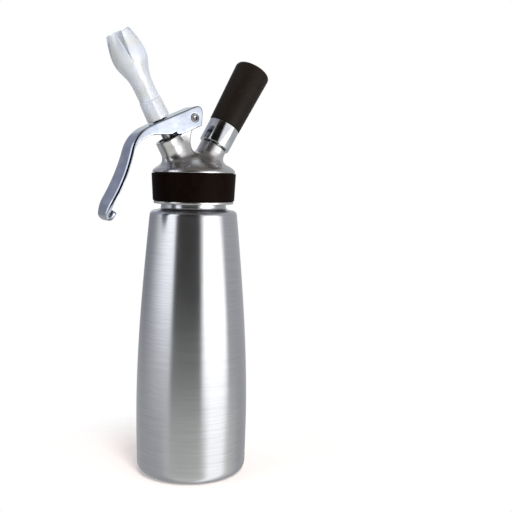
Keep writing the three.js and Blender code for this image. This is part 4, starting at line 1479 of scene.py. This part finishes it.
@dataclass(frozen=True)
class Valve:
    """Bush and stem, seen between boss and lever and when the nozzle is off."""

    bush_bore: float = 4.3
    bush_radius: float = 7.8
    bush_bottom: float = -7.7
    bush_top: float = -0.9
    bush_chamfer: float = 0.6
    bush_lead: float = 0.3
    foot: float = -34.6
    steps: tuple[Point, ...] = (
        (2.2, -28.0),
        (2.9, -16.0),
        (5.6, -14.0),
        (3.7, -11.4),
        (5.6, -9.5),
        (4.0, 11.96),
        (7.5, 13.36),
        (4.0, NOZZLE_SEAT - 0.7),
        (5.2, NOZZLE_SEAT),
    )  # radius and top: end, shank, piston, ring's groove, piston, guide, flange, neck, collar
    groove_radius: float = 3.6
    tip_radius: float = 3.2
    tip_length: float = 12.4
    bore: float = 2.0
    bore_bottom: float = -22.0

    def build(self) -> None:
        """Makes both, on the valve's axis."""
        frame = VALVE.matrix()
        bush = rounded(
            [
                (self.bush_bore, self.bush_bottom),
                (self.bush_radius, self.bush_bottom),
                (self.bush_radius, self.bush_top - self.bush_chamfer),
                (self.bush_radius - self.bush_chamfer, self.bush_top),
                (self.bush_bore + self.bush_lead, self.bush_top),
                (self.bush_bore, self.bush_top - self.bush_lead),
            ],
            [0.2, 0.3, 0.3, 0.2, 0.1, 0.1],
        )
        ring = revolve(bush, 96, closed=True).placed(frame)
        # The bush's near-black finish is painted shade for the gap under the lever.
        put("bush_ring", ring, Material.BUSH_PAINTED_SHADE, "head", "bush_steel", "valve_bush")
        corners = [(0, self.foot), *stairs(self.foot, self.steps), (self.groove_radius, NOZZLE_SEAT)]
        outer = rounded(corners, 0.25, closed=False)
        radius, low, tip = self.tip_radius, NOZZLE_SEAT, NOZZLE_SEAT + self.tip_length
        thread = finer([(radius, low + 0.1), (radius, tip - 0.6)], 0.2)
        end = [(radius, tip - 0.4), (radius - 0.3, tip), (self.bore, tip), (self.bore, self.bore_bottom)]
        end = rounded([*end, (0, self.bore_bottom)], 0.15, closed=False)
        ridge = helix(1.0, low + 0.6, tip - 0.6, 0.38, 0.6)

        def swell(angle: np.ndarray, radius: np.ndarray, height: np.ndarray) -> np.ndarray:
            """The thread, on the tip's outer side alone."""
            return ridge(angle, radius, height) * (radius > self.tip_radius - 0.1)

        stem = revolve(np.concatenate([outer, thread, end]), 72, swell=swell).placed(frame)
        # The stem's darkened finish is partly painted shade in the gap between boss and lever.
        put("stem_turned", stem, Material.STEM_PAINTED_SHADE, "stem", "stem_steel", "valve_stem")


@dataclass(frozen=True)
class Nozzle:
    """Tulip nozzle with five petals, moulded round a threaded metal insert, and its washer."""

    collar_radius: float = 9.5
    collar_top: float = 8.85
    collar_length: float = 16.2
    step_in: float = 0.35
    waist_radius: float = 8.3
    waist_height: float = 28.0
    belly_radius: float = 13.8
    belly_height: float = 54.0
    belly_lead: float = 0.385
    mouth_radius: float = 9.8
    length: float = 74.2
    wall: float = 1.4
    throat_radius: float = 5.0
    bore: float = 6.5
    insert_bore: float = 3.9
    insert_radius: float = 6.2
    insert_length: float = 11.4
    washer_bore: float = 4.0
    washer_height: float = 1.1
    petals: int = 5
    slit_width: float = 4.2
    slit_length: float = 19.5
    slit_turn: float = math.radians(-93)
    step: float = 0.5

    def tulip(self, inset: float) -> np.ndarray:
        """The line from waist to mouth.

        Args:
            inset: how far it is moved in, the wall for the inner side.

        Returns:
            Points (radius, height), upwards.
        """
        rise, fall = self.belly_height - self.waist_height, self.length - self.belly_height
        radii = self.waist_radius, self.belly_radius, self.mouth_radius
        waist, belly, mouth = [radius - inset for radius in radii]
        swell = bezier(
            [
                (waist, self.waist_height),
                (waist, self.waist_height + rise / 2),
                (belly, self.belly_height - rise * self.belly_lead),
                (belly, self.belly_height),
            ],
            12,
        )
        shut = bezier(
            [
                (belly, self.belly_height),
                (belly, self.belly_height + fall / 3),
                ((belly + mouth) / 2, self.length - fall / 3),
                (mouth, self.length),
            ],
            12,
        )
        return np.concatenate([swell, shut[1:]])

    def field(self) -> Field:
        """The nozzle in its own frame, as a distance field.

        Returns:
            The field.
        """
        insert_top = self.washer_height + self.insert_length + 3 * GAP
        base = rounded(
            [
                (self.bore, insert_top),
                (self.bore, 0),
                (self.collar_radius, 0),
                (self.collar_top, self.collar_length),
                (self.collar_top - self.step_in - 0.2, self.collar_length + self.step_in),
                (self.waist_radius, self.waist_height - 2),
            ],
            [0, 0.4, 0.9, 0.35, 0.3, 0],
            closed=False,
        )
        outer, inner = self.tulip(0.0), self.tulip(self.wall)
        rim = rounded([outer[-2], outer[-1], inner[-1], inner[-2]], 0.55, closed=False)
        narrow = self.throat_radius
        throat = [(narrow, self.waist_height - narrow), (narrow, insert_top)]
        outline = np.concatenate([base, outer[:-1], rim[1:-1], inner[::-1][1:], throat])
        lean = math.atan2(self.slit_width / 2, self.slit_length)
        turns = self.slit_turn + np.arange(self.petals) / self.petals * 2 * math.pi

        def shape(x: np.ndarray, y: np.ndarray, z: np.ndarray) -> np.ndarray:
            """A turned body, less a slit between two petals that widens upwards, five times.

            Args:
                x: of each point.
                y: of each point.
                z: of each point.

            Returns:
                The distance, negative inside.
            """
            body = inside_of(np.hypot(x, y), z, outline)
            start = z - (self.length - self.slit_length)
            for turn in turns:
                across = np.abs(x * math.cos(turn) + y * math.sin(turn))
                out = x * math.sin(turn) - y * math.cos(turn)
                slit = np.maximum(across * math.cos(lean) - start * math.sin(lean) - 0.12, -out)
                body = cut(body, slit, 0.7)
            return body

        return shape

    def build(self) -> None:
        """Makes the nozzle, its insert and its washer, on the stem's collar."""
        frame = VALVE.matrix(NOZZLE_SEAT)
        reach = self.belly_radius + 0.1
        skin = skin_of(self.field(), (-reach, -reach, 0), (reach, reach, self.length), self.step)
        skin = skin.placed(frame)
        put("nozzle_tulip", skin, Material.NOZZLE, "nozzle", "nozzle_plastic", "decorator_nozzle")
        radius = self.insert_radius
        low = self.washer_height + 2 * GAP
        high = low + self.insert_length
        sleeve = washer(self.insert_bore, radius, low, high, 0.3)
        middle = len(sleeve) // 2
        side = finer([(radius, low + 1), (radius, high - 1)], 0.3)
        sleeve = np.concatenate([sleeve[:middle], side, sleeve[middle:]])
        insert = revolve(sleeve, 72, closed=True).placed(frame)
        put("insert_turned", insert, Material.STEM_PAINTED_SHADE, "nozzle", "stem_steel", "nozzle_insert")
        section = washer(self.washer_bore, radius, GAP, GAP + self.washer_height, 0.25)
        ring = revolve(section, 64, closed=True).placed(frame)
        put("washer_ring", ring, Material.GASKET, "washer", "gasket_silicone", "nozzle_washer")


@dataclass(frozen=True)
class Holder:
    """Chromed charger tube with its bright ring, and the black sleeve over it."""

    rim_radius: float = 13.2
    ring_radius: float = 13.4
    ring_length: float = 19.4
    thread_radius: float = 10.1
    thread_depth: float = 11.5
    core_radius: float = 11.6
    bore_radius: float = 9.5
    bore_depth: float = 72.0
    end_wall: float = 1.5
    grip_start: float = 13.6
    grip_end: float = 15.3
    end_corner: float = 4.6
    grip_wall: float = 2.3
    crown: float = 0.6

    def build(self) -> None:
        """Makes tube and sleeve, on the port's axis."""
        frame = PORT.matrix()
        end = self.bore_depth + self.end_wall
        tube = rounded(
            [
                (self.thread_radius, 0),
                (self.rim_radius, 0),
                (self.ring_radius, self.ring_length),
                (self.core_radius, self.ring_length),
                (self.core_radius, end),
                (0, end),
            ],
            [0.4, 0.9, 0.5, 0.2, 0.6, 0],
            6,
            closed=False,
        )
        inner = rounded(
            [
                (0, self.bore_depth),
                (self.bore_radius, self.bore_depth),
                (self.bore_radius, self.thread_depth),
                (self.thread_radius, self.thread_depth),
                (self.thread_radius, 0.3),
            ],
            [0, 0.6, 0.3, 0.2, 0],
            closed=False,
        )
        whole = revolve(np.concatenate([inner, tube[1:]]), 128).placed(frame)
        put("tube_turned", whole, Material.HOLDER, "holder", "holder_chrome", "holder_tube")
        low = self.ring_length + GAP
        hollow = end + GAP
        last = hollow + self.grip_wall
        corner = (self.grip_end - self.end_corner, last)
        side = [(self.grip_end, last - self.end_corner), (self.grip_end, last - self.crown)]
        shoulder = bezier([*side, corner], 12)
        crown = bezier([corner, (self.grip_end / 2, last + self.crown), (0, last + self.crown)], 8)
        inner_radius = self.core_radius + GAP
        sleeve = np.concatenate(
            [
                [(0, hollow), (inner_radius, hollow), (inner_radius, low)],
                rounded([(inner_radius, low), (self.grip_start, low), side[0]], 0.45, closed=False)[1:-1],
                shoulder,
                crown[1:],
            ]
        )
        grip = revolve(sleeve, 128).placed(frame)
        put("grip_sleeve", grip, Material.GRIP, "holder", "grip_silicone", "holder_grip")


@dataclass(frozen=True)
class Bulb:
    """The gas bulb in the holder: a drawn steel bottle with a long shoulder."""

    tip: float = 5.9
    neck_radius: float = 3.8
    neck_end: float = 12.3
    radius: float = 9.0
    shoulder_end: float = 20.9
    lead: float = 4.3
    length: float = 65.0

    def build(self) -> None:
        """Makes the bulb, its tip at the pin."""
        narrow, wide, start, end = self.neck_radius, self.radius, self.neck_end, self.shoulder_end
        shoulder = [(narrow, start), (narrow, start + self.lead), (wide, end - self.lead), (wide, end)]
        line = np.concatenate(
            [
                rounded([(0, self.tip), (narrow, self.tip), (narrow, start)], 0.6, closed=False),
                bezier(shoulder, 14)[1:],
                arc(0, self.tip + self.length - wide, wide, 0, 90, 14),
            ]
        )
        bulb = revolve(line, 96).placed(PORT.matrix())
        put("bulb_drawn", bulb, Material.BULB, "charger", "bulb_steel", "charger_bulb")


def dress_nodes(nodes: dict[str, bpy.types.Object]) -> None:
    """Gives the hidden pieces that keep their CAD mesh their real finish.

    Args:
        nodes: the CAD objects by name.
    """
    plan = {
        Material.SEAL: ("bush_gasket", "stem_o_ring", "valve_seal", "charger_seal", "carrier_gasket"),
        Material.SPRING: ("valve_spring", "check_spring", "piercing_pin"),
        Material.BRASS: ("stem_nut", "pin_carrier"),
        Material.GASKET: ("check_poppet",),
    }
    for finish, names in plan.items():
        for name in names:
            mesh = nodes[name].data
            mesh.materials.clear()
            mesh.materials.append(finish.build())


# Studio


@dataclass(frozen=True)
class Card:
    """One light or dark patch of the surroundings, in degrees as the camera sees it.

    Turn zero is behind the camera and grows to the picture's right, and rise is the height above
    level. The blur is half the width over which each edge goes from nothing to full.
    """

    name: str
    colour: str
    gain: float
    turn: tuple[float, float]
    rise: tuple[float, float]
    blur: tuple[float, float]


@dataclass(frozen=True)
class Studio:
    """The camera where the photograph was taken from, soft light from the right, a pale floor."""

    eye: tuple[float, float, float] = (-314.6, -617.5, 255.0)
    azimuth: float = math.radians(-31.4)
    pitch: float = math.radians(5.8)
    roll: float = math.radians(1.05)
    lens: float = 57.8
    backdrop: str = "#FFFFFF"
    floor_paper: str = "#FFF5F1"
    floor_glow: float = 0.13
    floor_fade: Point = (75.0, 170.0)  # from and to which radius it goes over into the backdrop
    room: str = "#C6C8CB"
    cards: tuple[Card, ...] = (
        Card("shade to the far left", "#989BA0", 1.0, (-200, -112), (-90, 90), (20, 0)),
        Card("table", "#BEBFC1", 1.0, (-200, 200), (-90, -9), (0, 7)),
        Card("near table", "#FDFFF8", 0.88, (-50, 110), (-90, -14), (20, 5)),
        Card("wall to the left", "#AEB1C2", 1.0, (-154, -112), (8, 60), (5, 12)),
        Card("bright wall behind", "#DFE6EA", 1.0, (-200, -152), (4, 60), (4, 6)),
        Card("window", "#F9FAFF", 2.2, (-84, -10), (-3, 40), (28, 3)),
        Card("dark room behind the camera", "#1C1917", 1.0, (-41, 25), (-12, 90), (4, 7)),
        Card("top of the softbox", "#FFFFFF", 1.2, (26, 82), (-8, 42), (7, 6)),
        Card("softbox", "#FFFFFF", 3.2, (27, 83), (-10, 2), (7, 5)),
        Card("gleam of the softbox on the table", "#FFFFFF", 1.7, (37, 78), (-90, -8), (8, 4)),
        Card("ceiling", "#746F6B", 1.0, (-200, 200), (52, 90), (0, 12)),
    )

    def basis(self) -> tuple[Vector, Vector, Vector]:
        """The camera's axes.

        Returns:
            Right, up and ahead.
        """
        c, s = math.cos(self.pitch), math.sin(self.pitch)
        ahead = Vector((-math.sin(self.azimuth) * c, math.cos(self.azimuth) * c, -s))
        right = Vector((math.cos(self.azimuth), math.sin(self.azimuth), 0))
        up = right.cross(ahead)
        turn = Matrix.Rotation(-self.roll, 3, ahead)
        return turn @ right, turn @ up, ahead

    def camera(self) -> None:
        """Sets the camera where the photograph was taken from."""
        right, up, ahead = self.basis()
        data = bpy.data.cameras.new("camera")
        data.sensor_width = 36.0
        data.lens = self.lens
        data.clip_start = 0.01
        camera = bpy.data.objects.new("camera", data)
        turn = Matrix((right, up, -ahead)).transposed().to_4x4()
        camera.matrix_world = Matrix.Translation(Vector(self.eye) * MM) @ turn
        bpy.context.scene.collection.objects.link(camera)
        bpy.context.scene.camera = camera

    def world(self) -> None:
        """The surroundings that the metal mirrors, card by card, and plain white behind the object."""
        world = bpy.data.worlds.new("studio")
        world.use_nodes = True
        bpy.context.scene.world = world
        tree = world.node_tree
        tree.nodes.clear()
        way = add_node(tree, "ShaderNodeTexCoord").outputs["Generated"]
        c, s = math.cos(self.azimuth), math.sin(self.azimuth)
        toward, across, upward = [
            add_node(tree, "ShaderNodeVectorMath", {0: way, 1: axis}, operation="DOT_PRODUCT").outputs[1]
            for axis in ((s, -c, 0), (c, s, 0), (0, 0, 1))
        ]
        turn = add_node(tree, "ShaderNodeMath", {0: across, 1: toward}, operation="ARCTAN2").outputs[0]
        rise = add_node(tree, "ShaderNodeMath", {0: upward}, operation="ARCSINE").outputs[0]
        colour = add_node(tree, "ShaderNodeRGB").outputs[0]
        colour.default_value = linear(self.room)
        for card in self.cards:
            mask = 1.0
            for angle, span, blur in ((turn, card.turn, card.blur[0]), (rise, card.rise, card.blur[1])):
                low, high = [math.radians(edge) for edge in span]
                reach = math.radians(max(blur, 0.1))
                for start, end in ((low - reach, low + reach), (high + reach, high - reach)):
                    inputs = {"Value": angle, "From Min": start, "From Max": end}
                    edge = add_node(tree, "ShaderNodeMapRange", inputs, interpolation_type="SMOOTHSTEP")
                    inputs = {0: mask, 1: edge.outputs[0]}
                    mask = add_node(tree, "ShaderNodeMath", inputs, operation="MULTIPLY").outputs[0]
            shade = (*[card.gain * share for share in linear(card.colour)[:3]], 1.0)
            inputs = {0: mask, 6: colour, 7: shade}
            colour = add_node(tree, "ShaderNodeMix", inputs, data_type="RGBA", label=card.name).outputs[2]
        seen = add_node(tree, "ShaderNodeBackground", {"Color": linear(self.backdrop)})
        lit = add_node(tree, "ShaderNodeBackground", {"Color": colour})
        path = add_node(tree, "ShaderNodeLightPath").outputs
        rays = {0: path["Is Camera Ray"], 1: path["Is Transmission Ray"]}
        straight = add_node(tree, "ShaderNodeMath", rays, operation="MAXIMUM").outputs[0]
        inputs = {0: straight, 1: lit.outputs[0], 2: seen.outputs[0]}
        choice = add_node(tree, "ShaderNodeMixShader", inputs)
        add_node(tree, "ShaderNodeOutputWorld", {0: choice.outputs[0]})

    def floor(self) -> None:
        """A white disc that the camera sees near the base, where a faint shadow lies on it."""
        surface = revolve(np.array([(0, 0), (60, 0), (120, 0), (240, 0)]), 128)
        mesh = bpy.data.meshes.new("floor")
        mesh.from_pydata((surface.points * MM).tolist(), [], surface.faces[0].tolist())
        weld(mesh)
        disc = bpy.data.objects.new("floor", mesh)
        disc.location.z = -0.2 * MM
        bpy.context.scene.collection.objects.link(disc)
        recipe = Recipe("floor_paper")
        length = add_node(recipe.tree, "ShaderNodeVectorMath", {0: recipe.place}, operation="LENGTH")
        near, far = self.floor_fade
        inputs = {"Value": length.outputs[1], "From Min": near * MM, "From Max": far * MM}
        inputs |= {"To Min": 1.0, "To Max": 0.0}
        fading = add_node(recipe.tree, "ShaderNodeMapRange", inputs).outputs[0]
        seen = add_node(recipe.tree, "ShaderNodeLightPath").outputs["Is Camera Ray"]
        fade = add_node(recipe.tree, "ShaderNodeMath", {0: fading, 1: seen}, operation="MULTIPLY")
        recipe.set(
            Base_Color=linear(self.floor_paper),
            Alpha=fade.outputs[0],
            Roughness=0.8,
            Specular_IOR_Level=0.0,
            Emission_Color=(1.0, 1.0, 1.0, 1.0),
            Emission_Strength=self.floor_glow,
        )
        mesh.materials.append(recipe.material)

    def lights(self) -> None:
        """Two soft lights for the floor and its shadow, and a small one that gleams on the nozzle."""
        for name, place, aim, size, power in (
            ("key", (-0.2, -1.05, 1.1), (0, 0, 0.12), (0.5, 0.5), 12.5),
            ("top", (-0.1, 0.2, 1.5), (0, 0, 0.12), (1.2, 1.2), 5.0),
            ("reflector", (0.075, -0.25, 0.205), (-0.045, 0, 0.335), (0.18, 0.09), 0.225),
        ):
            data = bpy.data.lights.new(name, "AREA")
            data.shape = "ELLIPSE"
            data.size, data.size_y = size
            data.energy = power
            light = bpy.data.objects.new(name, data)
            light.location = place
            light.rotation_euler = (Vector(aim) - Vector(place)).to_track_quat("-Z", "Y").to_euler()
            light.visible_glossy = name == "reflector"
            light.visible_camera = False
            bpy.context.scene.collection.objects.link(light)

    def build(self) -> None:
        """Sets up camera, surroundings, floor and lights."""
        bpy.context.scene.view_settings.view_transform = "Standard"
        self.camera()
        self.world()
        self.floor()
        self.lights()


def main() -> None:
    """Builds the studio and each piece in turn."""
    logging.basicConfig(level=logging.INFO, format="%(name)s: %(message)s")
    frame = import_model()
    for part in (Studio(), Bottle(), Head(), Pin(), Lever(), Valve(), Nozzle(), Holder(), Bulb()):
        LOG.info("building %s", type(part).__name__)
        part.build()
    dress_nodes(frame["nodes"])


if __name__ == "__main__":
    main()
